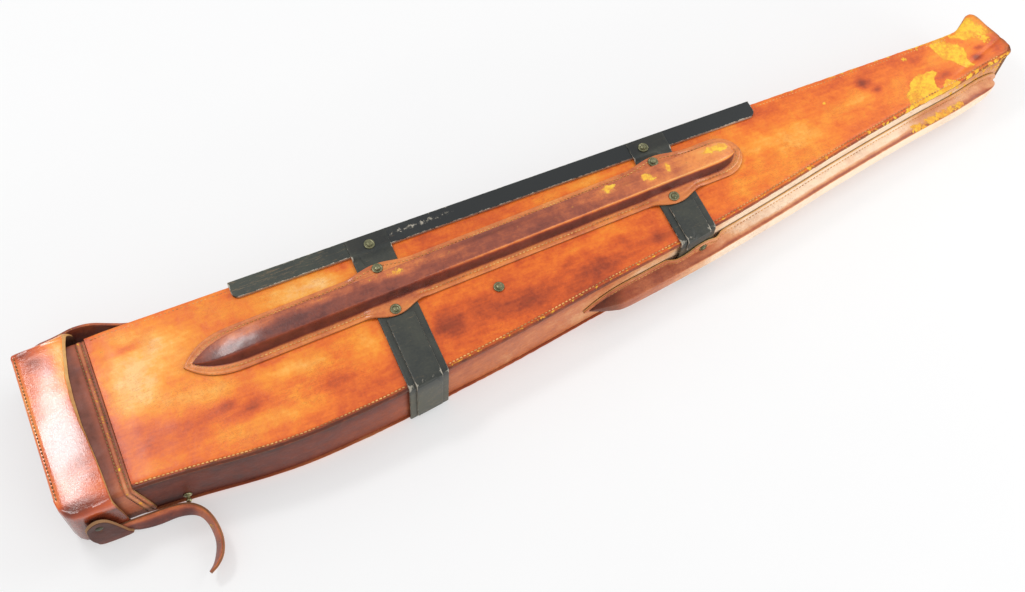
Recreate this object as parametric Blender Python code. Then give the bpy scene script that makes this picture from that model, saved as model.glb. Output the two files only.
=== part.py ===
"""Long saddle-leather rod case lying on its back: a wide end closed by a hinged cap, a body that
tapers to a narrow humped muzzle end, a black steel rail along the top edge, two steel hoops, two
moulded leather ribs, brass rivets and a loose closing strap.

Lengths are millimetres in the case's own frame: X runs from the cap's outer end to the muzzle,
Y = 0 is the straight top edge of the front panel, Z = 0 is the surface the case lies on.
"""

import math

import bmesh
import bpy
from mathutils import Vector

MM = 0.001
CENTRE_X = 610.0
CENTRE_Y = -124.96
GAP = 0.3

# Body
BACK_Z = 2.3
FRONT_Z = 77.3
PANEL_T = 3.5
GUSSET_T = 3.2
OVERHANG = 2.5
BODY_X0 = 75.0
GUSSET_SLANT = 13.0
GUSSET_SEAMS = (389.5, 734.0)
TOP_GUSSET_X1 = 1120.0
BOTTOM_EDGE = [
    (75.0, -181.0),
    (133.0, -185.5),
    (201.0, -192.5),
    (255.0, -194.6),
    (323.0, -190.8),
    (364.0, -187.0),
    (419.0, -180.0),
    (501.0, -170.0),
    (617.0, -152.5),
    (758.0, -133.0),
    (850.0, -117.0),
    (947.0, -98.0),
    (1054.0, -79.5),
    (1130.0, -68.5),
    (1165.0, -61.5),
    (1210.0, -54.3),
]
MUZZLE_END = [
    (1216.5, -50.8),
    (1220.0, -42.0),
    (1219.0, -33.0),
    (1215.0, -18.0),
    (1211.0, -4.0),
    (1208.5, 8.0),
    (1205.5, 15.5),
    (1199.0, 19.0),
    (1192.0, 17.0),
    (1182.0, 10.0),
    (1172.0, 4.0),
    (1160.0, 1.0),
    (1140.0, 0.2),
    (TOP_GUSSET_X1, 0.0),
]

# Mouth collar
COLLAR_X0 = 44.0
COLLAR_X1 = BODY_X0 - GAP
COLLAR_TOP = -0.5
COLLAR_BOTTOM = -182.0
COLLAR_FRONT = 74.8
COLLAR_BACK = 4.8
COLLAR_T = 3.2

# Cap
CAP_T = 3.5
CAP_BACK = 0.3
CAP_FRONT = 79.5
CAP_TOP = 9.0
CAP_BOTTOM = -188.5
CAP_TOP_WALL_X1 = 65.0
CAP_CORNER_X = 22.0
CAP_LIP = [(58.0, 9.0), (54.0, -10.0), (49.5, -35.0), (47.8, -60.0), (47.6, -95.0)]
CAP_LIP += [(49.5, -120.0), (51.5, -150.0), (52.5, -175.0), (53.0, -188.5)]
CAP_CORNER = [(22.0, -188.5), (12.0, -186.5), (5.5, -181.5), (1.6, -174.0), (0.0, -165.0)]
CAP_LIP_SLANT = 9.0

# Leather hinge at the top side
HINGE_X = 68.0
HINGE_Y = 14.7
HINGE_T = 3.0
HINGE_Z0 = 10.0
HINGE_Z1 = 71.0
HINGE_CAP_PATH = [(22.0, 9.3), (38.0, 9.3), (50.0, 9.8), (58.0, 11.3), (65.0, 13.0)]
HINGE_BODY_PATH = [
    (71.0, 13.1),
    (80.0, 12.3),
    (89.0, 10.0),
    (98.0, 6.0),
    (107.0, 1.2),
    (117.0, -2.2),
    (150.0, -2.2),
]

# Closing strap and its tab on the cap's bottom wall
TAB_T = 3.2
TAB_OUTLINE = [
    (16.0, 38.0),
    (17.5, 50.0),
    (24.0, 59.0),
    (32.0, 62.0),
    (39.0, 57.0),
    (44.0, 46.0),
    (49.0, 30.0),
    (54.0, 12.0),
    (57.0, 1.5),
    (26.0, 1.5),
    (19.0, 12.0),
    (16.0, 25.0),
]
STRAP_T = 3.0
STRAP_Z0 = 1.5
STRAP_Z1 = 23.5
STRAP_PIVOT = (59.5, -190.3)
STRAP_ROOT = [(30.0, -190.3), (57.5, -190.3)]
STRAP_PATH = [
    (61.5, -190.4),
    (74.0, -191.8),
    (88.0, -193.0),
    (102.0, -194.0),
    (115.0, -197.0),
    (125.0, -203.0),
    (132.0, -212.5),
    (135.8, -225.0),
    (135.6, -239.0),
    (131.0, -251.5),
    (123.5, -261.5),
    (116.0, -268.0),
]
STRAP_STUD = (120.0, 15.5)

# Steel rail and hoops
RAIL_X0 = 233.0
RAIL_X1 = 873.0
RAIL_T = 3.2
RAIL_LEG = 22.0
RAIL_BOTTOM = -18.0
RAIL_CORNER = 8.0
HOOP_T = 2.0
HOOP_WIDTH = 47.0
HOOP_LEFT_X = 366.0
HOOP_RIGHT_X = 710.5
DOUBLER_T = 1.7
DOUBLER_MARGIN = 8.0
HOOP_LEFT_SHOWS = -104.8
HOOP_RIGHT_SHOWS = -93.8

# Moulded ribs
COVER_T = 2.8
FLANGE_TOP = 3.4
FRONT_RIB = {
    "start": 160.0,
    "end": 832.0,
    "height": 18.5,
    "ridge": 16.8,
    "flange": 26.5,
    "margin": 9.7,
    "round": 30.0,
}
FRONT_RIB_Y0 = -74.6
FRONT_RIB_Y1 = -53.1
BOTTOM_RIB = {
    "start": 586.0,
    "end": 1208.0,
    "height": 19.0,
    "ridge": 12.5,
    "flange": 18.5,
    "margin": 6.0,
    "round": 40.0,
}
BOTTOM_RIB_Z = 33.5
RIB_STEP = 42.0
LOBE_REACH = 9.0
LOBE_UPPER_REACH = 5.0
LOBE_HALF_LENGTH = 30.0

# Rivets: (name, x, y)
RIVET_R = 6.1
TAB_RIVETS = [
    ("rivet_rib_left_upper", 387.2, -42.7),
    ("rivet_rib_left_lower", 387.3, -96.5),
    ("rivet_rib_right_upper", 728.4, -32.7),
    ("rivet_rib_right_lower", 729.7, -83.2),
]
RAIL_RIVETS = [("rivet_rail_left", 390.3, -11.0), ("rivet_rail_right", 727.1, -10.5)]
PANEL_RIVET = ("rivet_panel", 501.2, -111.6)
EDGE_RIVET_X = 741.0
EDGE_RIVET_Z = 52.0

COLOURS = {
    "panel_leather": ((0.62, 0.19, 0.045), 0.42, 0.0),
    "gusset_leather": ((0.32, 0.085, 0.035), 0.4, 0.0),
    "dark_leather": ((0.22, 0.065, 0.035), 0.42, 0.0),
    "rib_leather": ((0.28, 0.075, 0.035), 0.32, 0.0),
    "strap_leather": ((0.42, 0.13, 0.03), 0.5, 0.0),
    "black_steel": ((0.02, 0.024, 0.022), 0.4, 0.3),
    "brass": ((0.55, 0.42, 0.2), 0.35, 1.0),
    "felt": ((0.45, 0.4, 0.32), 0.95, 0.0),
}


def material(kind):
    """A material of one kind of stuff, made afresh for each sub-part."""
    colour, roughness, metallic = COLOURS[kind]
    made = bpy.data.materials.new(kind)
    made.use_nodes = True
    shader = made.node_tree.nodes["Principled BSDF"]
    shader.inputs["Base Color"].default_value = (*colour, 1.0)
    shader.inputs["Roughness"].default_value = roughness
    shader.inputs["Metallic"].default_value = metallic
    return made


def world(point):
    x, y, z = point
    return Vector(((x - CENTRE_X) * MM, (y - CENTRE_Y) * MM, z * MM))


def add_part(name, points, faces, kind, parent=None, smooth=None):
    """One closed piece. Points are in the case's frame, and the object's origin is their middle."""
    placed = [world(point) for point in points]
    low = Vector([min(p[axis] for p in placed) for axis in range(3)])
    high = Vector([max(p[axis] for p in placed) for axis in range(3)])
    middle = (low + high) / 2
    mesh = bpy.data.meshes.new(name)
    mesh.from_pydata([p - middle for p in placed], [], faces)
    work = bmesh.new()
    work.from_mesh(mesh)
    bmesh.ops.remove_doubles(work, verts=work.verts, dist=1e-6)
    bmesh.ops.recalc_face_normals(work, faces=work.faces)
    work.to_mesh(mesh)
    work.free()
    if smooth is not None:
        mesh.shade_smooth()
        mesh.set_sharp_from_angle(angle=math.radians(smooth))
    mesh.materials.append(material(kind))
    part = bpy.data.objects.new(name, mesh)
    bpy.context.scene.collection.objects.link(part)
    part.location = middle
    if parent is not None:
        part.parent = parent
        part.location = middle - joint_place(parent)
    return part


def joint_place(joint):
    """World place of a joint's empty: joints are only ever moved, never turned, at rest."""
    place = joint.location.copy()
    if joint.parent is not None:
        place += joint_place(joint.parent)
    return place


def add_joint(name, x, y, parent=None):
    joint = bpy.data.objects.new(name, None)
    joint.empty_display_size = 0.03
    bpy.context.scene.collection.objects.link(joint)
    joint.location = world((x, y, FRONT_Z / 2))
    if parent is not None:
        joint.parent = parent
        joint.location = joint.location - joint_place(parent)
    return joint


def add_bevel(part, width, segments=2):
    bevel = part.modifiers.new("edges", "BEVEL")
    bevel.width = width * MM
    bevel.segments = segments
    bevel.limit_method = "ANGLE"
    bevel.angle_limit = math.radians(40)


def loft(rings):
    """Points and faces of a solid through closed rings of equal length, with flat ends."""
    count = len(rings[0])
    points = [point for ring in rings for point in ring]
    faces = [list(range(count))]
    for r in range(len(rings) - 1):
        for k in range(count):
            n = (k + 1) % count
            faces.append([r * count + k, r * count + n, (r + 1) * count + n, (r + 1) * count + k])
    last = (len(rings) - 1) * count
    faces.append([last + k for k in reversed(range(count))])
    return points, faces


def add_plate(name, outline, z0, z1, kind, parent=None, bevel=0.0):
    """A flat piece with an outline in X and Y."""
    rings = [[(x, y, z) for x, y in outline] for z in (z0, z1)]
    part = add_part(name, *loft(rings), kind, parent)
    if bevel:
        add_bevel(part, bevel)
    return part


def offset_path(path, distance):
    """The path moved to its left by a distance, with mitred corners."""
    moved = []
    for k, (x, y) in enumerate(path):
        before = path[max(k - 1, 0)]
        after = path[min(k + 1, len(path) - 1)]
        normals = []
        for a, b in ((before, (x, y)), ((x, y), after)):
            run, rise = b[0] - a[0], b[1] - a[1]
            length = math.hypot(run, rise)
            if length > 1e-9:
                normals.append((-rise / length, run / length))
        nx = sum(n[0] for n in normals) / len(normals)
        ny = sum(n[1] for n in normals) / len(normals)
        size = math.hypot(nx, ny)
        reach = distance / max(size, 0.8)
        moved.append((x + nx / size * reach, y + ny / size * reach))
    return moved


def add_strip(name, path, near, far, z_span, kind, parent=None, bevel=0.0):
    """A strip standing on edge along a path, between two offsets to the path's left."""
    outline = offset_path(path, near) + offset_path(path, far)[::-1]
    return add_plate(name, outline, *z_span, kind, parent, bevel)


def edge_y(x):
    """Y of the front panel's bottom edge, a smooth curve through BOTTOM_EDGE."""
    table = BOTTOM_EDGE
    k = 0
    while k < len(table) - 2 and x > table[k + 1][0]:
        k += 1
    (x0, y0), (x1, y1) = table[k], table[k + 1]
    before = table[max(k - 1, 0)]
    after = table[min(k + 2, len(table) - 1)]
    slope0 = (y1 - before[1]) / (x1 - before[0])
    slope1 = (after[1] - y0) / (after[0] - x0)
    t = (x - x0) / (x1 - x0)
    width = x1 - x0
    part0 = (2 * t**3 - 3 * t**2 + 1) * y0 + (t**3 - 2 * t**2 + t) * width * slope0
    part1 = (3 * t**2 - 2 * t**3) * y1 + (t**3 - t**2) * width * slope1
    return part0 + part1


def bottom_path(x0, x1):
    """Points along the bottom edge, at most 20 mm apart."""
    count = max(2, math.ceil((x1 - x0) / 20.0) + 1)
    xs = [x0 + (x1 - x0) * k / (count - 1) for k in range(count)]
    return [(x, edge_y(x)) for x in xs]


def add_body():
    low = bottom_path(BODY_X0, BOTTOM_EDGE[-1][0])
    outline = low + MUZZLE_END + [(BODY_X0, 0.0)]
    add_plate("front_panel", outline, FRONT_Z - PANEL_T, FRONT_Z, "panel_leather")
    add_plate("back_panel", outline, BACK_Z, BACK_Z + PANEL_T, "gusset_leather")
    between = (BACK_Z + PANEL_T + GAP, FRONT_Z - PANEL_T - GAP)
    outer = OVERHANG
    inner = OVERHANG + GUSSET_T
    add_bottom_gusset(low, outer, inner, between)
    top = [(TOP_GUSSET_X1, 0.0), (BODY_X0, 0.0)]
    add_strip("top_gusset", top, outer, inner, between, "gusset_leather")
    end = MUZZLE_END[:-1] + [(TOP_GUSSET_X1 + GAP, 0.0)]
    add_strip("muzzle_gusset", end, 1.5, 4.5, between, "gusset_leather")


def add_bottom_gusset(path, outer, inner, between):
    """The strip along the bottom edge, pieced under the hoops. Its end beside the collar slopes
    back toward the table."""
    rings = []
    for z in between:
        slant = GUSSET_SLANT * (between[1] - z) / (between[1] - between[0])
        start = BODY_X0 + slant + 0.5
        here = [(start, edge_y(start))]
        here += [p for p in path if BODY_X0 + GUSSET_SLANT + 8 < p[0] < GUSSET_SEAMS[0] - 6]
        here.append((GUSSET_SEAMS[0], edge_y(GUSSET_SEAMS[0])))
        flat = offset_path(here, outer) + offset_path(here, inner)[::-1]
        rings.append([(x, y, z) for x, y in flat])
    add_part("bottom_gusset_wide", *loft(rings), "gusset_leather")
    spans = (("bottom_gusset_middle", *GUSSET_SEAMS), ("bottom_gusset_narrow", GUSSET_SEAMS[1], path[-1][0]))
    for name, x0, x1 in spans:
        add_strip(name, bottom_path(x0 + 2 * GAP, x1), outer, inner, between, "gusset_leather")


def add_collar():
    """The sleeve round the mouth, over which the cap closes."""
    inside = (COLLAR_BACK + COLLAR_T + GAP, COLLAR_FRONT - COLLAR_T - GAP)
    for name, z0 in (("collar_front", COLLAR_FRONT - COLLAR_T), ("collar_back", COLLAR_BACK)):
        outline = [
            (COLLAR_X0, COLLAR_BOTTOM),
            (COLLAR_X1, COLLAR_BOTTOM),
            (COLLAR_X1, COLLAR_TOP),
            (COLLAR_X0, COLLAR_TOP),
        ]
        add_plate(name, outline, z0, z0 + COLLAR_T, "dark_leather", bevel=0.8)
    top = [(COLLAR_X1, COLLAR_TOP), (COLLAR_X0, COLLAR_TOP)]
    add_strip("collar_top", top, 0.0, COLLAR_T, inside, "dark_leather")
    rings = []
    for z in inside:
        slant = GUSSET_SLANT * (inside[1] - z) / (inside[1] - inside[0])
        y0, y1 = COLLAR_BOTTOM, COLLAR_BOTTOM + COLLAR_T
        right = COLLAR_X1 + slant * 0.96
        flat = [(COLLAR_X0, y0), (right, y0), (right, y1), (COLLAR_X0, y1)]
        rings.append([(x, y, z) for x, y in flat])
    add_part("collar_bottom", *loft(rings), "dark_leather")


def add_cap(hinge):
    """The cap's front, back and the three walls between them."""
    outline = [(0.0, CAP_TOP)] + CAP_CORNER[::-1] + CAP_LIP[::-1]
    kinds = (("cap_front", CAP_FRONT - CAP_T, "panel_leather"), ("cap_back", CAP_BACK, "gusset_leather"))
    for name, z0, kind in kinds:
        add_plate(name, outline, z0, z0 + CAP_T, kind, hinge, bevel=1.2)
    inside = (CAP_BACK + CAP_T + GAP, CAP_FRONT - CAP_T - GAP)
    top = [(CAP_TOP_WALL_X1, CAP_TOP), (0.0, CAP_TOP)]
    add_strip("cap_top_wall", top, 0.0, CAP_T, inside, "gusset_leather", hinge)
    end = [(0.0, CAP_TOP - CAP_T - GAP)] + CAP_CORNER[::-1]
    add_strip("cap_end_wall", end, 0.0, CAP_T, inside, "gusset_leather", hinge)
    rings = []
    for z in inside:
        lip = CAP_LIP[-1][0] + CAP_LIP_SLANT * (inside[1] - z) / (inside[1] - inside[0])
        x0 = CAP_CORNER_X + 1.2
        y0, y1 = CAP_BOTTOM, CAP_BOTTOM + CAP_T
        rings.append([(x0, y0, z), (lip, y0, z), (lip, y1, z), (x0, y1, z)])
    add_part("cap_bottom_wall", *loft(rings), "gusset_leather", hinge)


def add_hinge_straps(hinge):
    """The leather hinge, cut where it bends: one half on the cap, one on the body."""
    span = (HINGE_Z0, HINGE_Z1)
    add_strip("hinge_strap_cap", HINGE_CAP_PATH, 0.0, HINGE_T, span, "dark_leather", hinge, 0.6)
    add_strip("hinge_strap_body", HINGE_BODY_PATH, 0.0, HINGE_T, span, "dark_leather", None, 0.6)


def add_closing_strap(hinge):
    """The tab riveted to the cap's bottom wall and the strap under it, cut where it bends."""
    tab_y = CAP_BOTTOM - GAP - STRAP_T - GAP
    rings = [[(x, y, z) for x, z in TAB_OUTLINE] for y in (tab_y, tab_y - TAB_T)]
    tab = add_part("strap_tab", *loft(rings), "dark_leather", hinge)
    add_bevel(tab, 0.8)
    rivet_at = (30.0, tab_y - TAB_T - GAP, 45.0)
    add_button("rivet_tab", rivet_at, (0, -1, 0), [(5.5, 0.0), (5.5, 0.7), (2.6, 1.5)], "brass", hinge)
    swing = add_joint("strap_swing", *STRAP_PIVOT, parent=hinge)
    half = STRAP_T / 2
    span = (STRAP_Z0, STRAP_Z1)
    add_strip("strap_root", STRAP_ROOT, -half, half, span, "strap_leather", hinge, 0.5)
    add_strip("closing_strap", STRAP_PATH, -half, half, span, "strap_leather", swing, 0.5)


def rail_ring(x, round_corner):
    """Section of the steel angle; the free edges end short where a corner is rounded off."""
    top = FRONT_Z + GAP + RAIL_T
    back = GAP
    front_edge = RAIL_BOTTOM + round_corner
    low_edge = top - RAIL_LEG + round_corner
    flat = [
        (back + RAIL_T, top),
        (front_edge, top),
        (front_edge, top - RAIL_T),
        (back, top - RAIL_T),
        (back, low_edge),
        (back + RAIL_T, low_edge),
    ]
    return [(x, y, z) for y, z in flat]


def add_rail():
    ends = []
    for step in range(4):
        turn = math.radians(30 * step)
        ends.append((RAIL_CORNER * (1 - math.sin(turn)), RAIL_CORNER * (1 - math.cos(turn))))
    stations = [(RAIL_X0 + run, cut) for cut, run in ends]
    stations += [(RAIL_X1 - run, cut) for cut, run in reversed(ends)]
    rings = [rail_ring(x, cut) for x, cut in stations]
    rail = add_part("rail", *loft(rings), "black_steel")
    add_bevel(rail, 0.5)


def hoop_ring(x):
    """Section of a hoop: over the rail, across the front, round the bottom edge, over the back."""
    edge = edge_y(x)
    front = FRONT_Z + GAP
    over = FRONT_Z + GAP + RAIL_T + GAP
    back = BACK_Z - GAP
    inner = [
        (3.5, over),
        (RAIL_BOTTOM - 1.2, over),
        (RAIL_BOTTOM - 6.0, front),
        (edge - GAP, front),
        (edge - GAP, back),
        (-6.0, back),
    ]
    t = HOOP_T
    outer = [
        (-6.0, back - t),
        (edge - GAP - t + 1.0, back - t),
        (edge - GAP - t, back - t + 1.0),
        (edge - GAP - t, front + t - 1.0),
        (edge - GAP - t + 1.0, front + t),
        (RAIL_BOTTOM - 6.8, front + t),
        (RAIL_BOTTOM - 2.0, over + t),
        (3.5, over + t),
    ]
    return [(x, y, z) for y, z in inner + outer]


def add_hoop(side, x0, shows, edge_z0):
    """A hoop and the two raised plates on it: one on the front, one on the bottom edge."""
    xs = [x0 + HOOP_WIDTH * k / 3 for k in range(4)]
    add_part("hoop_" + side, *loft([hoop_ring(x) for x in xs]), "black_steel")
    left, right = x0 + DOUBLER_MARGIN, x0 + HOOP_WIDTH - DOUBLER_MARGIN
    lift = HOOP_T + 2 * GAP
    outline = [
        (left, edge_y(left) + 1.5),
        (right, edge_y(right) + 1.5),
        (right, shows),
        (left, shows),
    ]
    z0 = FRONT_Z + lift
    add_plate("doubler_front_" + side, outline, z0, z0 + DOUBLER_T, "black_steel", bevel=0.5)
    path = [(left, edge_y(left)), (right, edge_y(right))]
    span = (edge_z0, FRONT_Z - 3.0)
    near, far = -lift - 0.15, -lift - 0.15 - DOUBLER_T
    add_strip("doubler_edge_" + side, path, near, far, span, "black_steel", None, 0.5)


def ramp(x, start, end, reach):
    """1 between start and end, falling to 0 within reach on either side."""
    away = max(start - x, x - end, 0.0)
    if away >= reach:
        return 0.0
    return 0.5 + 0.5 * math.cos(math.pi * away / reach)


def rib_stations(rib, marks):
    """Places along a rib: close together at the round ends, and one at each mark."""
    turn = [1 - math.cos(math.radians(angle)) for angle in (18, 34, 50, 66, 80)]
    ends = [rib["start"] + rib["round"] * t for t in turn]
    ends += [rib["end"] - rib["round"] * t for t in turn]
    ends += [rib["start"] + rib["margin"], rib["end"] - rib["margin"]]
    middle = [x for x in marks if rib["start"] + rib["round"] < x < rib["end"] - rib["round"]]
    places = sorted(ends + middle)
    filled = [places[0]]
    for x in places[1:]:
        if x - filled[-1] < 1.5:
            continue
        steps = math.ceil((x - filled[-1]) / RIB_STEP)
        start = filled[-1]
        filled += [start + (x - start) * k / steps for k in range(1, steps + 1)]
    return filled


def round_end(x, start, end, reach):
    """1 along a rib, falling to 0 at its ends as a quarter of an ellipse does."""
    inside = min(x - start, end - x)
    if inside <= 0:
        return 0.0
    if inside >= reach:
        return 1.0
    return math.sqrt(1 - (1 - inside / reach) ** 2)


def ridge_shape(share):
    """Height of the ridge at a share of its half-width: flat on top, steep at the foot."""
    return max(0.0, 1 - abs(share) ** 4.5) ** 0.8


RIDGE_SHARES = [1.0, 0.95, 0.85, 0.7, 0.4, 0.0]


def both_sides(values):
    """Values from one side, through the last, to the same values on the other side."""
    return [-v for v in values] + list(values[:-1])[::-1]


def rib_sections(rib, x, lift, lobes):
    """Outer and inner line of the cover at one place: lists of (across, height)."""
    margin = rib["margin"]
    at_end = round_end(x, rib["start"], rib["end"], rib["round"])
    ridge_end = round_end(x, rib["start"] + margin, rib["end"] - margin, rib["round"])
    half = rib["flange"] * at_end
    ridge = max(2.0, min(rib["ridge"] * ridge_end, half - 3.0))
    inner_ridge = max(1.0, ridge - COVER_T)
    foot = GAP + lift
    flange = FLANGE_TOP + lift
    top = flange + (rib["height"] - flange) * ridge_end**0.8
    inner_top = max(foot + 0.05, top - COVER_T - 0.3)
    outer = []
    inner = []
    for v in both_sides(RIDGE_SHARES):
        outer.append((v * ridge, flange + (top - flange) * ridge_shape(v)))
        inner.append((v * inner_ridge, foot + (inner_top - foot) * ridge_shape(v)))
    low, high = (half + lobe for lobe in lobes)
    outer = [(-low, foot), (-low, flange - 1.0), (-low + 0.9, flange)] + outer
    outer += [(high - 0.9, flange), (high, flange - 1.0), (high, foot)]
    return outer, inner


def rib_end_points(rib, place):
    """The two tips of a cover, where its flange runs to a point."""
    return [place(x, 0.0, GAP + 1.0) for x in (rib["start"], rib["end"])]


def add_rib_cover(name, rib, marks, place, lift_at, lobes_at):
    """A moulded leather cover: a flange all round and a hollow ridge, open underneath."""
    points = []
    faces = []
    stations = rib_stations(rib, marks)
    for x in stations:
        outer, inner = rib_sections(rib, x, lift_at(x), lobes_at(x))
        ring = outer + inner[::-1]
        points += [place(x, across, height) for across, height in ring]
    count = len(ring)
    for r in range(len(stations) - 1):
        for k in range(count):
            n = (k + 1) % count
            faces.append([r * count + k, r * count + n, (r + 1) * count + n, (r + 1) * count + k])
    tips = rib_end_points(rib, place)
    points += tips
    for tip, base in ((len(points) - 2, 0), (len(points) - 1, (len(stations) - 1) * count)):
        for k in range(count):
            faces.append([base + k, base + (k + 1) % count, tip])
    return add_part(name, points, faces, "rib_leather", smooth=35)


def add_rib_core(name, rib, marks, place, lift_at):
    """The stiff filling under a cover."""
    rings = []
    for x in rib_stations(rib, marks):
        margin = rib["margin"]
        ridge_end = round_end(x, rib["start"] + margin, rib["end"] - margin, rib["round"])
        if ridge_end < 0.3:
            continue
        flange = FLANGE_TOP + lift_at(x)
        top = flange + (rib["height"] - flange) * ridge_end**0.8 - COVER_T - 0.9
        half = rib["ridge"] * ridge_end - COVER_T - 0.7
        foot = 2 * GAP + lift_at(x)
        if top < foot + 1.0 or half < 1.5:
            continue
        ring = []
        for v in both_sides(RIDGE_SHARES):
            height = foot + (top - foot) * ridge_shape(v) * 0.97
            ring.append(place(x, v * half, height))
        rings.append(ring)
    return add_part(name, *loft(rings), "felt", smooth=40)


def on_front(x, across, height):
    """A place on the front panel, across the front rib's own line."""
    run = FRONT_RIB["end"] - FRONT_RIB["start"]
    slope = (FRONT_RIB_Y1 - FRONT_RIB_Y0) / run
    length = math.hypot(1.0, slope)
    y = FRONT_RIB_Y0 + slope * (x - FRONT_RIB["start"])
    return (x - across * slope / length, y + across / length, FRONT_Z + height)


def on_gusset(x, z, height):
    """A place on the bottom gusset, a height out from its outer face."""
    slope = (edge_y(x + 2.0) - edge_y(x - 2.0)) / 4.0
    length = math.hypot(1.0, slope)
    surface = edge_y(x) + OVERHANG * length
    return (x + height * slope / length, surface - height / length, z)


def on_bottom(x, across, height):
    """A place on the bottom gusset across the bottom rib's own line."""
    return on_gusset(x, BOTTOM_RIB_Z + across, height + GAP)


def add_ribs():
    hoops = [(x, x + HOOP_WIDTH) for x in (HOOP_LEFT_X, HOOP_RIGHT_X)]
    front_marks = []
    for x0, x1 in hoops:
        front_marks += [x0 - 22, x0 - 11, x0 - 3, x0 + 17, x0 + 34, x1 + 3, x1 + 11, x1 + 22]
    over_hoop = HOOP_T + GAP

    def front_lift(x):
        return over_hoop * max(ramp(x, x0 - 3, x1 + 3, 8) for x0, x1 in hoops)

    def front_lobes(x):
        reach = max(ramp(x, x0 + 19, x0 + 22, LOBE_HALF_LENGTH) for x0, x1 in hoops)
        return (LOBE_REACH * reach, LOBE_UPPER_REACH * reach)

    add_rib_cover("front_rib_cover", FRONT_RIB, front_marks, on_front, front_lift, front_lobes)
    add_rib_core("front_rib_core", FRONT_RIB, front_marks, on_front, front_lift)

    x0, x1 = hoops[1]
    bottom_marks = [x0 - 22, x0 - 12, x0 - 3, x0 + 15, x0 + 30, x1 + 3, x1 + 12, x1 + 22]
    over_edge = OVERHANG + HOOP_T + 2 * GAP

    def bottom_lift(x):
        return over_edge * ramp(x, x0 - 3, x1 + 3, 9)

    def bottom_lobes(x):
        return (0.0, 7.5 * ramp(x, x0 + 28, x0 + 33, 24))

    add_rib_cover("bottom_rib_cover", BOTTOM_RIB, bottom_marks, on_bottom, bottom_lift, bottom_lobes)
    add_rib_core("bottom_rib_core", BOTTOM_RIB, bottom_marks, on_bottom, bottom_lift)


def add_button(name, place, axis, profile, kind="brass", parent=None):
    """A turned piece: profile is (radius, height) from its foot up to where it closes on the axis."""
    sides = 16
    up = Vector(axis).normalized()
    side = up.cross(Vector((1, 0, 0))).normalized()
    other = up.cross(side)
    points = []
    faces = [list(range(sides))]
    for radius, height in profile:
        for k in range(sides):
            turn = 2 * math.pi * k / sides
            spot = Vector(place) + up * height
            spot += side * radius * math.cos(turn) + other * radius * math.sin(turn)
            points.append(tuple(spot))
    for r in range(len(profile) - 1):
        for k in range(sides):
            n = (k + 1) % sides
            faces.append([r * sides + k, r * sides + n, (r + 1) * sides + n, (r + 1) * sides + k])
    faces.append([(len(profile) - 1) * sides + k for k in range(sides)])
    return add_part(name, points, faces, kind, parent, smooth=35)


RIVET = [(RIVET_R, 0.0), (RIVET_R, 0.8), (RIVET_R - 0.8, 1.2), (3.6, 1.2), (3.3, 2.1), (1.8, 2.8)]


def add_rivets():
    on_tab = FRONT_Z + FLANGE_TOP + HOOP_T + GAP + GAP
    for name, x, y in TAB_RIVETS:
        add_button(name, (x, y, on_tab), (0, 0, 1), RIVET)
    on_rail = FRONT_Z + RAIL_T + HOOP_T + 3 * GAP
    for name, x, y in RAIL_RIVETS:
        add_button(name, (x, y, on_rail), (0, 0, 1), RIVET)
    name, x, y = PANEL_RIVET
    add_button(name, (x, y, FRONT_Z + GAP), (0, 0, 1), RIVET)
    height = FLANGE_TOP + OVERHANG + HOOP_T + 3 * GAP
    place = on_bottom(EDGE_RIVET_X, EDGE_RIVET_Z - BOTTOM_RIB_Z, height)
    near = on_bottom(EDGE_RIVET_X, EDGE_RIVET_Z - BOTTOM_RIB_Z, height + 1.0)
    outward = [near[k] - place[k] for k in range(3)]
    small = [(radius * 0.85, rise) for radius, rise in RIVET]
    add_button("rivet_edge", place, outward, small)


def add_strap_stud():
    """The two-part brass stud that the closing strap buttons over."""
    x, z = STRAP_STUD
    foot = on_gusset(x, z, 1.5 * GAP)
    top = on_gusset(x, z, 1.5 + 2.5 * GAP)
    outward = [top[k] - foot[k] for k in range(3)]
    base = [(6.0, 0.0), (6.0, 0.9), (4.6, 1.5)]
    knob = [(2.4, 0.0), (2.2, 2.0), (3.3, 3.2), (4.1, 4.6), (3.8, 6.0), (2.0, 7.0)]
    add_button("stud_base", foot, outward, base)
    add_button("stud_knob", top, outward, knob)


def main():
    for thing in list(bpy.data.objects):
        bpy.data.objects.remove(thing, do_unlink=True)
    hinge = add_joint("cap_hinge", HINGE_X, HINGE_Y)
    add_body()
    add_collar()
    add_cap(hinge)
    add_hinge_straps(hinge)
    add_closing_strap(hinge)
    add_rail()
    add_hoop("left", HOOP_LEFT_X, HOOP_LEFT_SHOWS, 7.0)
    add_hoop("right", HOOP_RIGHT_X, HOOP_RIGHT_SHOWS, 63.0)
    add_ribs()
    add_rivets()
    add_strap_stud()


main()
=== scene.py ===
"""Looks of the long leather rod case: worn saddle leather over a tapering box, a hinged cap, a black
steel rail with two hoops, two moulded ribs, brass rivets, sewn seams and a loose closing strap.

Lengths are millimetres in the case's own frame (X from the cap's outer end to the muzzle, Y = 0 the
straight top edge of the front panel, Z = 0 the table), until world() turns them into metres.
"""

import math

import bmesh
import bpy
from mathutils import Matrix, Vector, noise

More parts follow.
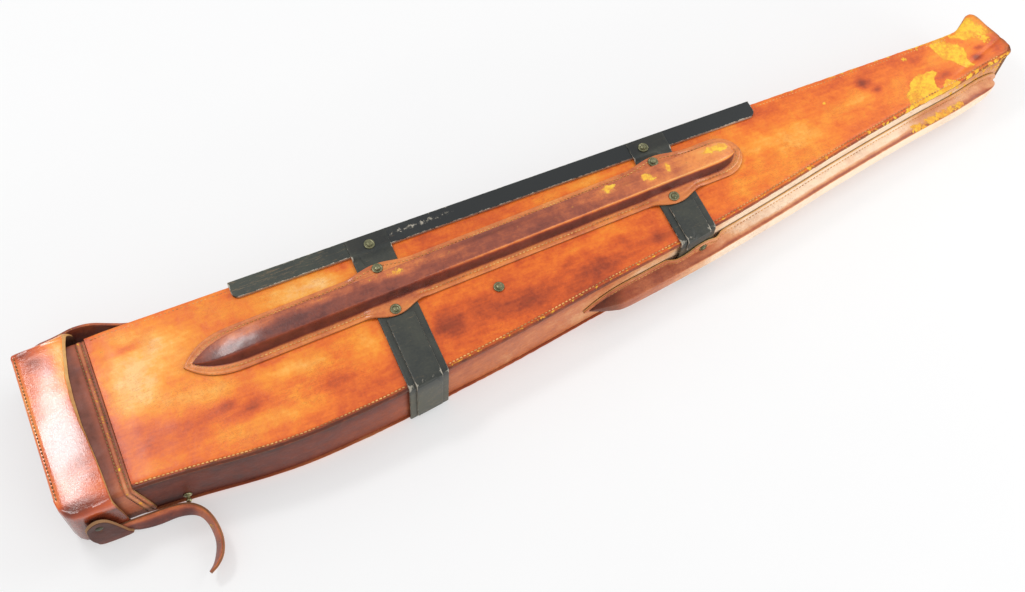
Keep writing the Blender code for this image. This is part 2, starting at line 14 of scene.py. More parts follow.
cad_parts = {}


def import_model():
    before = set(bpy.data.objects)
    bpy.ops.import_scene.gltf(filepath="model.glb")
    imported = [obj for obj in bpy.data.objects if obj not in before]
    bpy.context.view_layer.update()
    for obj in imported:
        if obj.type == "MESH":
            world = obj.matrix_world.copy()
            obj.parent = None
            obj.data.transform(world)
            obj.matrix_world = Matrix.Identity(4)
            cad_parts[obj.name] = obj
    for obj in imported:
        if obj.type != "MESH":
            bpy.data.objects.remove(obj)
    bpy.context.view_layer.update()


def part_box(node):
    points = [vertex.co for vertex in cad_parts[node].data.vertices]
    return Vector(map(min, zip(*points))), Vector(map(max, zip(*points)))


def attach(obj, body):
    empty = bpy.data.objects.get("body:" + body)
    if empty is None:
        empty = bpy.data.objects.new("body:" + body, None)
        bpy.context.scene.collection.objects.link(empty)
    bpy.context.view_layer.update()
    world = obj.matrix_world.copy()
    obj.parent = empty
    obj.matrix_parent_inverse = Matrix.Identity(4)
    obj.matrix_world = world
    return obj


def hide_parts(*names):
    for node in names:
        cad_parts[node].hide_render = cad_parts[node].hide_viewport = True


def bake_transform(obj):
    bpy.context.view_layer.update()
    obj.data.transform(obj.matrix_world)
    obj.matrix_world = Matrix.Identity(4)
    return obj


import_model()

MM = 0.001
GAP = 0.3
OUTER, INNER, RIM = 0, 1, 2

# Body
BACK_Z = 2.3
FRONT_Z = 77.3
PANEL_T = 3.5
GUSSET_T = 3.2
OVERHANG = 2.5
BODY_X0 = 75.0
GUSSET_SLANT = 13.0
TOP_GUSSET_X1 = 1120.0
BOTTOM_EDGE = [
    (75.0, -181.0),
    (133.0, -185.5),
    (201.0, -192.5),
    (255.0, -194.6),
    (323.0, -190.8),
    (364.0, -187.0),
    (419.0, -180.0),
    (501.0, -170.0),
    (617.0, -152.5),
    (758.0, -133.0),
    (850.0, -117.0),
    (947.0, -98.0),
    (1054.0, -79.5),
    (1130.0, -68.5),
    (1165.0, -61.5),
    (1210.0, -54.3),
]
MUZZLE_LOW = [(1210.0, -54.3), (1216.5, -50.8), (1220.0, -42.0)]
MUZZLE_TIP = [(1220.0, -42.0), (1219.0, -33.0), (1215.0, -18.0), (1211.0, -4.0), (1208.5, 8.0)]
MUZZLE_TIP += [(1205.5, 15.5), (1199.0, 19.0)]
MUZZLE_HUMP = [(1120.0, 0.0), (1140.0, 0.2), (1160.0, 1.0), (1172.0, 4.0), (1182.0, 10.0)]
MUZZLE_HUMP += [(1192.0, 17.0), (1199.0, 19.0)]

# Collar and cap
COLLAR_X0 = 44.0
COLLAR_X1 = 74.7
COLLAR_T = 3.2
COLLAR_BOX = (-182.0, -0.5, 4.8, 74.8)
CAP_T = 3.5
CAP_BOX = (-188.5, 9.0, 0.3, 79.5)
CAP_LIP = [(-188.5, 53.0), (-175.0, 52.5), (-150.0, 51.5), (-120.0, 49.5), (-95.0, 47.6)]
CAP_LIP += [(-60.0, 47.8), (-35.0, 49.5), (-10.0, 54.0), (9.0, 58.0)]
CAP_CORNER = [(0.0, -165.0), (1.6, -174.0), (5.5, -181.5), (12.0, -186.5), (22.0, -188.5)]

# Straps
HINGE_Z = (10.0, 71.0)
HINGE_T = 3.0
HINGE_PATH = [(22.0, 11.1), (38.0, 12.3), (50.0, 13.8), (58.0, 15.2), (65.0, 16.2), (72.0, 15.9)]
HINGE_PATH += [(80.0, 14.8), (89.0, 12.6), (98.0, 9.4), (107.0, 5.6), (117.0, 1.6), (128.0, -1.2)]
HINGE_PATH += [(140.0, -2.2), (150.0, -2.2)]
TAB_T = 3.2
TAB_Y = -192.1
TAB_OUTLINE = [
    (16.0, 38.0),
    (17.5, 50.0),
    (24.0, 59.0),
    (32.0, 62.0),
    (39.0, 57.0),
    (44.0, 46.0),
    (49.0, 30.0),
    (54.0, 12.0),
    (57.0, 1.5),
    (26.0, 1.5),
    (19.0, 12.0),
    (16.0, 25.0),
]
STRAP_T = 3.0
STRAP_Z = (1.5, 23.5)
STRAP_HIGH = [(30.0, -190.3), (45.0, -190.3), (57.5, -190.3), (66.0, -190.4), (77.0, -190.6)]
STRAP_HIGH += [(91.2, -191.0), (105.2, -192.0), (119.6, -196.0), (130.0, -205.4), (135.9, -217.8)]
STRAP_HIGH += [(138.6, -233.8), (137.6, -248.0), (133.0, -260.0), (125.4, -268.8), (116.5, -274.0)]
STRAP_LOW = [(30.0, -190.3), (45.0, -190.3), (56.5, -191.0), (64.0, -193.4), (73.0, -195.2)]
STRAP_LOW += [(85.1, -196.3), (99.9, -195.9), (113.5, -197.9), (122.7, -202.5), (128.1, -210.0)]
STRAP_LOW += [(131.2, -222.0), (131.3, -236.0), (128.4, -246.5), (122.2, -256.2), (115.5, -263.0)]
STRAP_STUD = (120.0, 15.5)

# Steel
RAIL_X0 = 233.0
RAIL_X1 = 873.0
RAIL_T = 3.2
RAIL_LEG = 22.0
RAIL_BOTTOM = -18.0
RAIL_CORNER = 8.0
HOOP_T = 2.0
HOOP_WIDTH = 47.0
HOOP_X = {"left": 366.0, "right": 710.5}
DOUBLER_T = 1.7
DOUBLER_MARGIN = 8.0
DOUBLER_SHOWS = {"left": (-104.8, 7.0), "right": (-93.8, 63.0)}

# Ribs
COVER_T = 2.8
FLANGE_TOP = 2.9
FRONT_RIB = {
    "start": 160.0,
    "end": 832.0,
    "height": 18.5,
    "ridge": 16.8,
    "flange": 26.5,
    "margin": 9.7,
    "round": 30.0,
    "arch": 70.0,
    "point": 3.2,
    "climb": 85.0,
}
FRONT_RIB_Y = (-74.6, -53.1)
BOTTOM_RIB = {
    "start": 586.0,
    "end": 1208.0,
    "height": 19.0,
    "ridge": 12.5,
    "flange": 18.5,
    "margin": 6.0,
    "round": 40.0,
    "arch": 60.0,
    "point": 2.4,
    "climb": 40.0,
}
BOTTOM_RIB_Z = 33.5
LOBE_REACH = 9.0
LOBE_UPPER_REACH = 5.0
LOBE_HALF_LENGTH = 34.0

# Rivets
RIVET_R = 6.1
TAB_RIVETS = {
    "rivet_rib_left_upper": (387.2, -42.7),
    "rivet_rib_left_lower": (387.3, -96.5),
    "rivet_rib_right_upper": (728.4, -32.7),
    "rivet_rib_right_lower": (729.7, -83.2),
}
RAIL_RIVETS = {"rivet_rail_left": (390.3, -11.0), "rivet_rail_right": (727.1, -10.5)}
PANEL_RIVET = (501.2, -111.6)
EDGE_RIVET = (741.0, 52.0)

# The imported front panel's far corner places the case's own frame in the row frame.
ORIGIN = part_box("front_panel")[1] - Vector((MUZZLE_LOW[-1][0], MUZZLE_HUMP[-1][1], FRONT_Z)) * MM


def world(point):
    return ORIGIN + Vector(point) * MM


def case_place(point):
    """Millimetres in the case's frame of a place in the row frame."""
    return (point - ORIGIN) / MM


# ---------------------------------------------------------------- shapes


def clamp(value, low=0.0, high=1.0):
    return max(low, min(high, value))


def ease(start, end, value):
    """0 before start and 1 after end, smooth between them."""
    t = clamp((value - start) / (end - start))
    return t * t * (3.0 - 2.0 * t)


def ripple(x, y, size, seed=0.0):
    """Smooth noise between -1 and 1 with features of about this size."""
    return noise.noise(Vector((x / size + seed * 7.31, y / size - seed * 3.17, seed)))


def drop(distance, radius):
    """How far a rounded edge falls, this far in from it."""
    if distance >= radius:
        return 0.0
    return radius - math.sqrt(max(0.0, radius**2 - (radius - max(distance, 0.0)) ** 2))


def groove(distance, width, depth):
    """Depth of a soft groove, this far from its middle."""
    return depth * math.exp(-((distance / width) ** 2))


def look_up(table, x):
    """Straight-line value in a table of (x, value), held level past its ends."""
    if x <= table[0][0]:
        return table[0][1]
    for (x0, v0), (x1, v1) in zip(table, table[1:]):
        if x <= x1:
            return v0 + (v1 - v0) * (x - x0) / (x1 - x0)
    return table[-1][1]


def edge_y(x):
    """Y of the front panel's bottom edge, a smooth curve through BOTTOM_EDGE."""
    table = BOTTOM_EDGE
    k = 0
    while k < len(table) - 2 and x > table[k + 1][0]:
        k += 1
    (x0, y0), (x1, y1) = table[k], table[k + 1]
    before = table[max(k - 1, 0)]
    after = table[min(k + 2, len(table) - 1)]
    width = x1 - x0
    t = (x - x0) / width
    slope0 = (y1 - before[1]) / (x1 - before[0])
    slope1 = (after[1] - y0) / (after[0] - x0)
    part0 = (2 * t**3 - 3 * t**2 + 1) * y0 + (t**3 - 2 * t**2 + t) * width * slope0
    part1 = (3 * t**2 - 2 * t**3) * y1 + (t**3 - t**2) * width * slope1
    return part0 + part1


def even(points, count):
    """That many points at equal steps along a line through the given points."""
    points = [Vector(p) for p in points]
    lengths = [0.0]
    for a, b in zip(points, points[1:]):
        lengths.append(lengths[-1] + (b - a).length)
    out = []
    k = 0
    for step in range(count):
        target = lengths[-1] * step / (count - 1)
        while k < len(points) - 2 and lengths[k + 1] < target:
            k += 1
        span = lengths[k + 1] - lengths[k]
        share = (target - lengths[k]) / span if span > 1e-9 else 0.0
        out.append(points[k].lerp(points[k + 1], clamp(share)))
    return out


def line_length(points):
    return sum((Vector(b) - Vector(a)).length for a, b in zip(points, points[1:]))


def smooth_line(points, count=0, closed=False):
    """A smooth curve through the points, at equal steps if a count is given."""
    total = len(points)
    dense = []
    for k in range(total if closed else total - 1):
        near = []
        for d in (-1, 0, 1, 2):
            index = (k + d) % total if closed else int(clamp(k + d, 0, total - 1))
            near.append(Vector(points[index]))
        p0, p1, p2, p3 = near
        for s in range(10):
            t = s / 10
            bend = (2 * p0 - 5 * p1 + 4 * p2 - p3) * t**2 + (3 * p1 - p0 - 3 * p2 + p3) * t**3
            dense.append(0.5 * (2 * p1 + (p2 - p0) * t + bend))
    dense.append(Vector(points[0] if closed else points[-1]))
    return even(dense, count) if count else dense


def steps(start, end, size):
    """Values from start to end at equal steps no longer than size."""
    count = max(1, math.ceil(abs(end - start) / size))
    return [start + (end - start) * k / count for k in range(count + 1)]


def offset_line(path, distance):
    """The line moved to its left by a distance, with mitred corners."""
    moved = []
    for k, (x, y) in enumerate(path):
        before = path[max(k - 1, 0)]
        after = path[min(k + 1, len(path) - 1)]
        normals = []
        for a, b in ((before, (x, y)), ((x, y), after)):
            run, rise = b[0] - a[0], b[1] - a[1]
            length = math.hypot(run, rise)
            if length > 1e-9:
                normals.append((-rise / length, run / length))
        nx = sum(n[0] for n in normals) / len(normals)
        ny = sum(n[1] for n in normals) / len(normals)
        size = math.hypot(nx, ny)
        reach = distance / max(size, 0.8)
        moved.append((x + nx / size * reach, y + ny / size * reach))
    return moved


def filleted(corners, radius, step):
    """A line through corners, each rounded off, with the same number of points for any corners."""
    line = [Vector(corners[0])]
    for k in range(1, len(corners) - 1):
        here = Vector(corners[k])
        back = (Vector(corners[k - 1]) - here).normalized()
        on = (Vector(corners[k + 1]) - here).normalized()
        start, end = here + back * radius, here + on * radius
        for s in range(7):
            t = s / 6
            line.append(start * (1 - t) ** 2 + here * 2 * t * (1 - t) + end * t**2)
    line.append(Vector(corners[-1]))
    filled = [line[0]]
    for a, b in zip(line, line[1:]):
        count = max(1, round((b - a).length / step)) if (b - a).length > radius * 1.5 else 1
        filled += [a.lerp(b, k / count) for k in range(1, count + 1)]
    return filled


class Solid:
    """Points and faces of one piece, with the finish of each face."""

    def __init__(self):
        self.points = []
        self.faces = []
        self.finish = []

    def add(self, corners, finish):
        self.faces.append(corners)
        self.finish.append(finish)

    def grid(self, rows, finish, closed=False):
        """Adds a grid of points and its faces, and returns the points' numbers, row by row."""
        numbers = []
        for row in rows:
            first = len(self.points)
            self.points += [tuple(p) for p in row]
            numbers.append(list(range(first, first + len(row))))
        width = len(rows[0])
        for low, high in zip(numbers, numbers[1:]):
            for k in range(width if closed else width - 1):
                n = (k + 1) % width
                self.add((low[k], low[n], high[n], high[k]), finish)
        return numbers

    def band(self, low, high, finish, closed=False):
        """Faces between two lines of points that are there already."""
        for k in range(len(low) if closed else len(low) - 1):
            n = (k + 1) % len(low)
            self.add((low[k], low[n], high[n], high[k]), finish)

    def fan(self, ring, middle, finish):
        """Closes a ring of points with one at its middle."""
        self.points.append(tuple(middle))
        last = len(self.points) - 1
        for k in range(len(ring)):
            self.add((ring[k], ring[(k + 1) % len(ring)], last), finish)


def shell(outer, inner, closed=False, cut_start=True, cut_end=True):
    """A sheet of leather or steel between an outer and an inner grid of the same size."""
    solid = Solid()
    a = solid.grid(outer, OUTER, closed)
    b = solid.grid(inner, INNER, closed)
    if cut_start:
        solid.band(a[0], b[0], RIM, closed)
    if cut_end:
        solid.band(a[-1], b[-1], RIM, closed)
    if not closed:
        for side in (0, -1):
            solid.band([r[side] for r in a], [r[side] for r in b], RIM)
    return solid, a, b


def add_piece(name, solid, finishes, body, stands_for=(), paint=None, sharp=40.0):
    """Makes the object. Finishes are its materials for outer, inner and cut faces."""
    mesh = bpy.data.meshes.new(name)
    mesh.from_pydata([world(p) for p in solid.points], [], solid.faces)
    for finish in finishes:
        mesh.materials.append(finish)
    last = len(finishes) - 1
    mesh.polygons.foreach_set("material_index", [min(f, last) for f in solid.finish])
    work = bmesh.new()
    work.from_mesh(mesh)
    bmesh.ops.remove_doubles(work, verts=work.verts, dist=2e-6)
    bmesh.ops.recalc_face_normals(work, faces=work.faces)
    work.to_mesh(mesh)
    work.free()
    mesh.shade_smooth()
    mesh.set_sharp_from_angle(angle=math.radians(sharp))
    layer = mesh.attributes.new("paint", "FLOAT_VECTOR", "POINT")
    values = []
    for vertex in mesh.vertices:
        place = case_place(vertex.co)
        values += paint(*place) if paint else (0.5, 0.0, 0.0)
    layer.data.foreach_set("vector", values)
    piece = bpy.data.objects.new(name, mesh)
    bpy.context.scene.collection.objects.link(piece)
    if body:
        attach(piece, body)
    if stands_for:
        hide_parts(*stands_for)
    return piece


# ---------------------------------------------------------------- finishes


class Graph:
    """A material being made. Its textures lie in the piece's own space."""

    def __init__(self, name):
        self.material = bpy.data.materials.new(name)
        self.material.use_nodes = True
        self.tree = self.material.node_tree
        self.shader = self.tree.nodes["Principled BSDF"]
        self.space = self.node("TexCoord").outputs["Object"]

    def node(self, kind, inputs=None, **settings):
        made = self.tree.nodes.new("ShaderNode" + kind)
        for key, value in settings.items():
            setattr(made, key, value)
        for key, value in (inputs or {}).items():
            self.feed(made.inputs[key], value)
        return made

    def feed(self, socket, value):
        if isinstance(value, bpy.types.NodeSocket):
            self.tree.links.new(value, socket)
        else:
            socket.default_value = value

    def set(self, name, value):
        self.feed(self.shader.inputs[name], value)

    def stretched(self, stretch):
        if stretch is None:
            return self.space
        return self.node("Mapping", {"Vector": self.space, "Scale": stretch}).outputs["Vector"]

    def noise(self, scale, detail=4.0, rough=0.55, stretch=None, bend=0.0):
        inputs = {
            "Vector": self.stretched(stretch),
            "Scale": scale,
            "Detail": detail,
            "Roughness": rough,
            "Distortion": bend,
        }
        return self.node("TexNoise", inputs).outputs["Fac"]

    def cells(self, scale, feature="F1", stretch=None):
        inputs = {"Vector": self.stretched(stretch), "Scale": scale}
        return self.node("TexVoronoi", inputs, feature=feature).outputs["Distance"]

    def math(self, operation, a, b=0.0, c=0.0):
        made = self.node("Math", operation=operation)
        for socket, value in zip(made.inputs, (a, b, c)):
            self.feed(socket, value)
        return made.outputs[0]

    def add(self, *values):
        total = values[0]
        for value in values[1:]:
            total = self.math("ADD", total, value)
        return total

    def times(self, a, b):
        return self.math("MULTIPLY", a, b)

    def swing(self, value, amount):
        """Noise turned into a shift of up to about half the amount either way."""
        return self.math("MULTIPLY_ADD", value, amount, -0.5 * amount)

    def span(self, value, low, high, to_low=0.0, to_high=1.0):
        inputs = {
            "Value": value,
            "From Min": low,
            "From Max": high,
            "To Min": to_low,
            "To Max": to_high,
        }
        return self.node("MapRange", inputs).outputs["Result"]

    def ramp(self, value, stops):
        made = self.node("ValToRGB", {"Fac": value})
        points = made.color_ramp.elements
        while len(points) < len(stops):
            points.new(0.5)
        for point, (place, colour) in zip(points, stops):
            point.position = place
            point.color = (*colour, 1.0)
        return made.outputs["Color"]

    def mix(self, share, a, b, blend="MIX"):
        made = self.node("Mix", data_type="RGBA", blend_type=blend)
        for index, value in ((0, share), (6, a), (7, b)):
            if isinstance(value, tuple):
                value = (*value, 1.0)
            self.feed(made.inputs[index], value)
        return made.outputs[2]

    def paint(self):
        """The three shares painted on the piece: tone (with painted highlights in places), grime together with painted
        shade, and wear.
        """
        layer = self.node("Attribute", attribute_name="paint").outputs["Vector"]
        split = self.node("SeparateXYZ", {"Vector": layer})
        return split.outputs[0], split.outputs[1], split.outputs[2]

    def bump(self, height, distance, strength=1.0):
        inputs = {"Height": height, "Distance": distance, "Strength": strength}
        made = self.node("Bump", inputs)
        self.set("Normal", made.outputs["Normal"])


def leather(name, stops, grime_and_shade, bare, rough=(0.3, 0.5), mottle=1.0, coat=0.0, gloss=0.3):
    """Old glazed leather. Tone runs along the stops, grime and painted shade darken it, and where it is worn
    the flaked-off glaze shows the bare colour."""
    g = Graph(name)
    tone, dirt_and_shade, worn = g.paint()
    large = g.noise(17.0, 5.0, 0.6, bend=0.4)
    middle = g.noise(62.0, 5.0, 0.6, bend=0.3)
    fine = g.noise(260.0, 4.0, 0.6)
    drawn = g.noise(30.0, 5.0, 0.65, stretch=(1.0, 7.0, 7.0))
    shift = g.add(
        tone,
        g.swing(large, 0.75 * mottle),
        g.swing(middle, 0.5 * mottle),
        g.swing(fine, 0.28 * mottle),
        g.swing(drawn, 0.35 * mottle),
    )
    colour = g.ramp(shift, stops)
    warmth = g.span(g.noise(38.0, 4.0, 0.6, bend=0.6), 0.5, 0.68, 0.0, 0.3 * mottle)
    colour = g.mix(warmth, colour, stops[2][1])
    # The grime share includes painted shade, so this darkens the colour for both.
    soiling_and_shade = g.add(dirt_and_shade, g.swing(middle, 0.9), g.swing(fine, 0.5), -0.12)
    colour = g.mix(g.span(soiling_and_shade, 0.1, 0.95, 0.0, 0.92), colour, grime_and_shade)
    scuff = g.noise(45.0, 6.0, 0.75, stretch=(1.0, 5.0, 5.0), bend=1.2)
    scuffs = g.span(g.add(scuff, g.times(worn, 0.1)), 0.66, 0.76, 0.0, 0.4)
    colour = g.mix(scuffs, colour, bare[1])
    ragged = g.noise(115.0, 7.0, 0.75, bend=0.8)
    flake = g.span(g.add(worn, g.swing(ragged, 1.6), g.swing(fine, 0.25)), 0.5, 0.58)
    lit = g.mix(g.span(g.add(fine, g.swing(middle, 1.2)), 0.36, 0.66), bare[0], bare[1])
    colour = g.mix(flake, colour, lit)
    cracks = g.span(g.cells(75.0, "DISTANCE_TO_EDGE", (1.0, 1.8, 1.8)), 0.0, 0.02, 1.0, 0.0)
    aged = g.span(g.add(worn, g.swing(large, 0.9), g.swing(ragged, 0.8)), 0.35, 0.75, 0.0, 0.4)
    cracked = g.times(cracks, g.times(aged, g.span(flake, 0.0, 1.0, 1.0, 0.3)))
    colour = g.mix(cracked, colour, grime_and_shade)
    wrinkle = g.math("ABSOLUTE", g.add(g.noise(95.0, 6.0, 0.7, stretch=(1.0, 2.2, 2.2), bend=1.0), -0.5))
    veins = g.times(g.span(wrinkle, 0.0, 0.02, 0.55, 0.0), g.span(large, 0.42, 0.62))
    colour = g.mix(veins, colour, stops[1][1])
    specks = g.span(g.add(fine, g.times(middle, 0.5)), 0.98, 1.04, 0.0, 0.5 * mottle)
    colour = g.mix(specks, colour, stops[0][1])
    g.set("Base Color", colour)
    polish = g.add(g.span(middle, 0.3, 0.7, rough[0], rough[1]), g.times(flake, 0.22))
    g.set("Roughness", polish)
    g.set("Specular IOR Level", gloss)
    g.set("Coat Weight", g.times(coat, g.span(dirt_and_shade, 0.12, 0.4, 1.0, 0.12)) if coat else 0.0)
    g.set("Coat Roughness", 0.15)
    pores = g.cells(900.0)
    height = g.add(
        g.times(pores, 0.16),
        g.times(fine, 0.3),
        g.times(middle, 0.7),
        g.times(flake, -0.25),
        g.times(cracked, -0.5),
    )
    g.bump(height, 0.0006)
    return g.material


def raw_leather(name, light, dark):
    """Cut edges and flesh side: fibrous, dull, a little dirty."""
    g = Graph(name)
    tone, dirt_and_shade, worn = g.paint()
    fibre = g.noise(420.0, 6.0, 0.7, stretch=(1.0, 1.0, 3.0))
    patch = g.noise(48.0, 4.0, 0.6)
    share = g.add(tone, g.swing(fibre, 0.7), g.swing(patch, 0.9), -0.05)
    colour = g.mix(g.span(share, 0.1, 0.9), dark, light)
    g.set("Base Color", g.mix(g.times(dirt_and_shade, 0.5), colour, (0.05, 0.03, 0.02)))
    g.set("Roughness", g.span(fibre, 0.3, 0.7, 0.6, 0.85))
    g.bump(g.add(fibre, g.times(patch, 0.6)), 0.0005)
    return g.material


def painted_steel(name, cool, warm):
    """Black japanned steel, rubbed through along its edges and lightly scratched."""
    g = Graph(name)
    tone, dirt_and_shade, worn = g.paint()
    patch = g.noise(26.0, 5.0, 0.6)
    fine = g.noise(330.0, 5.0, 0.65)
    base = g.mix(g.span(g.add(patch, g.swing(fine, 0.4), g.swing(tone, 0.9)), 0.3, 0.9), cool, warm)
    streak = g.noise(60.0, 7.0, 0.8, stretch=(1.0, 9.0, 9.0), bend=0.6)
    rubbed = g.span(g.add(streak, g.times(tone, 0.16)), 0.67, 0.77, 0.0, 0.6)
    base = g.mix(rubbed, base, (0.3, 0.19, 0.09))
    chips = g.noise(170.0, 7.0, 0.75, bend=0.7)
    chipped = g.span(g.add(worn, g.swing(chips, 1.3)), 0.56, 0.66)
    base = g.mix(chipped, base, g.mix(fine, (0.5, 0.4, 0.25), (0.4, 0.42, 0.42)))
    base = g.mix(g.times(dirt_and_shade, 0.85), base, (0.004, 0.004, 0.004))
    g.set("Base Color", base)
    g.set("Metallic", g.times(chipped, 0.45))
    g.set("Roughness", g.add(g.span(patch, 0.3, 0.7, 0.32, 0.5), g.times(fine, 0.12)))
    g.bump(g.add(g.times(fine, 0.35), g.times(patch, 0.6), g.times(chipped, -0.5)), 0.0004)
    return g.material


def brass(name, shade):
    """Dull brass with green-brown tarnish, lighter or darker by its shade; the darker and lighter copies also stand in
    for painted shade and a painted glint.
    """
    g = Graph(name)
    patch = g.noise(380.0, 5.0, 0.7)
    broad = g.noise(120.0, 3.0, 0.5)
    stops = [
        (0.25, (0.05, 0.05, 0.028)),
        (0.45, (0.15, 0.15, 0.08)),
        (0.62, (0.34, 0.32, 0.19)),
        (0.85, (0.62, 0.52, 0.3)),
    ]
    stops = [(place, tuple(min(1.0, c * shade) for c in colour)) for place, colour in stops]
    tarnish = g.add(g.times(patch, 0.65), g.times(broad, 0.35))
    g.set("Base Color", g.ramp(tarnish, stops))
    g.set("Metallic", g.span(patch, 0.35, 0.65, 0.55, 1.0))
    g.set("Roughness", g.span(patch, 0.3, 0.7, 0.5, 0.26))
    g.bump(patch, 0.0003)
    return g.material


def thread(name, light, dark):
    g = Graph(name)
    ply = g.noise(900.0, 3.0, 0.6)
    patch = g.noise(34.0, 4.0, 0.6)
    g.set("Base Color", g.mix(g.span(g.add(patch, g.swing(ply, 0.5)), 0.35, 0.65), dark, light))
    g.set("Roughness", g.span(ply, 0.3, 0.7, 0.6, 0.9))
    g.bump(ply, 0.0003)
    return g.material


def felt(name):
    g = Graph(name)
    fuzz = g.noise(700.0, 6.0, 0.75)
    patch = g.noise(40.0, 3.0, 0.5)
    g.set("Base Color", g.mix(g.add(g.times(fuzz, 0.6), g.times(patch, 0.4)), (0.3, 0.24, 0.17), (0.55, 0.47, 0.36)))
    g.set("Roughness", g.span(fuzz, 0.3, 0.7, 0.85, 1.0))
    g.bump(fuzz, 0.001)
    return g.material


TAN_STOPS = [
    (0.02, (0.15, 0.03, 0.014)),
    (0.22, (0.38, 0.058, 0.018)),
    (0.4, (0.68, 0.11, 0.018)),
    (0.55, (0.86, 0.185, 0.02)),
    (0.72, (0.94, 0.31, 0.028)),
    (0.86, (0.98, 0.44, 0.075)),
    (1.0, (1.0, 0.57, 0.2)),
]
BROWN_STOPS = [
    (0.0, (0.055, 0.016, 0.012)),
    (0.25, (0.17, 0.042, 0.026)),
    (0.45, (0.36, 0.085, 0.036)),
    (0.62, (0.6, 0.19, 0.075)),
    (0.8, (0.82, 0.42, 0.2)),
    (1.0, (1.0, 0.78, 0.57)),
]
RIB_STOPS = [
    (0.0, (0.05, 0.014, 0.012)),
    (0.25, (0.14, 0.033, 0.024)),
    (0.45, (0.3, 0.068, 0.034)),
    (0.62, (0.56, 0.14, 0.045)),
    (0.8, (0.84, 0.27, 0.06)),
    (1.0, (0.93, 0.42, 0.1)),
]
YELLOW = ((0.97, 0.6, 0.04), (0.86, 0.36, 0.035))
DARK = (0.06, 0.018, 0.012)


def make_finishes():
    return {
        "panel": leather("panel_leather", TAN_STOPS, DARK, YELLOW, (0.3, 0.48), 0.8, 0.08),
        "cap": leather("cap_leather", TAN_STOPS, DARK, YELLOW, (0.16, 0.24), 0.7, 0.9, 0.5),
        "gusset": leather("gusset_leather", BROWN_STOPS, DARK, YELLOW, (0.36, 0.52), 0.5, 0.0, 0.2),
        "collar": leather("collar_leather", BROWN_STOPS, DARK, YELLOW, (0.36, 0.52), 0.55),
        "rib": leather("rib_leather", RIB_STOPS, DARK, YELLOW, (0.24, 0.42), 0.75, 0.35, 0.4),
        "pale_rib": leather("pale_rib_leather", BROWN_STOPS, DARK, YELLOW, (0.34, 0.5), 0.6, 0.1, 0.3),
        "strap": leather("strap_leather", RIB_STOPS, DARK, YELLOW, (0.34, 0.55), 0.7),
        "cut": raw_leather("cut_edge", (0.82, 0.47, 0.16), (0.42, 0.17, 0.05)),
        "pale_cut": raw_leather("pale_cut_edge", (0.86, 0.56, 0.3), (0.5, 0.25, 0.1)),
        "dark_cut": raw_leather("dark_cut_edge", (0.42, 0.19, 0.07), (0.1, 0.035, 0.018)),
        "flesh": raw_leather("flesh_side", (0.42, 0.22, 0.12), (0.2, 0.09, 0.05)),
        "rail": painted_steel("rail_paint", (0.01, 0.013, 0.014), (0.042, 0.05, 0.036)),
        "hoop": painted_steel("hoop_paint", (0.019, 0.024, 0.022), (0.075, 0.075, 0.05)),
        "brass": brass("tarnished_brass", 1.0),
        # The dark copy is tarnish plus painted shade from the tab's dimple; the bright copy is rubbed brass plus a
        # painted glint on the stud.
        "dark_brass": brass("dark_brass", 0.3),
        "bright_brass": brass("rubbed_brass_with_painted_glint", 2.2),
        "thread": thread("waxed_thread", (0.93, 0.52, 0.17), (0.4, 0.14, 0.045)),
        "dark_thread": thread("dark_thread", (0.42, 0.22, 0.08), (0.03, 0.015, 0.01)),
        "felt": felt("rib_felt"),
    }


# ---------------------------------------------------------------- painting


def painted(base, spots):
    """A paint function of X and Y: a base plus soft spots of (x, y, rx, ry, tone, grime, wear)."""

    def paint(x, y):
        tone, grime_and_shade, worn = base(x, y)
        for sx, sy, rx, ry, t, g, w in spots:
            away = ((x - sx) / rx) ** 2 + ((y - sy) / ry) ** 2
            if away > 6.0:
                continue
            share = math.exp(-away)
            tone += t * share
            grime_and_shade += g * share
            worn += w * share
        return tone, grime_and_shade, worn

    return paint


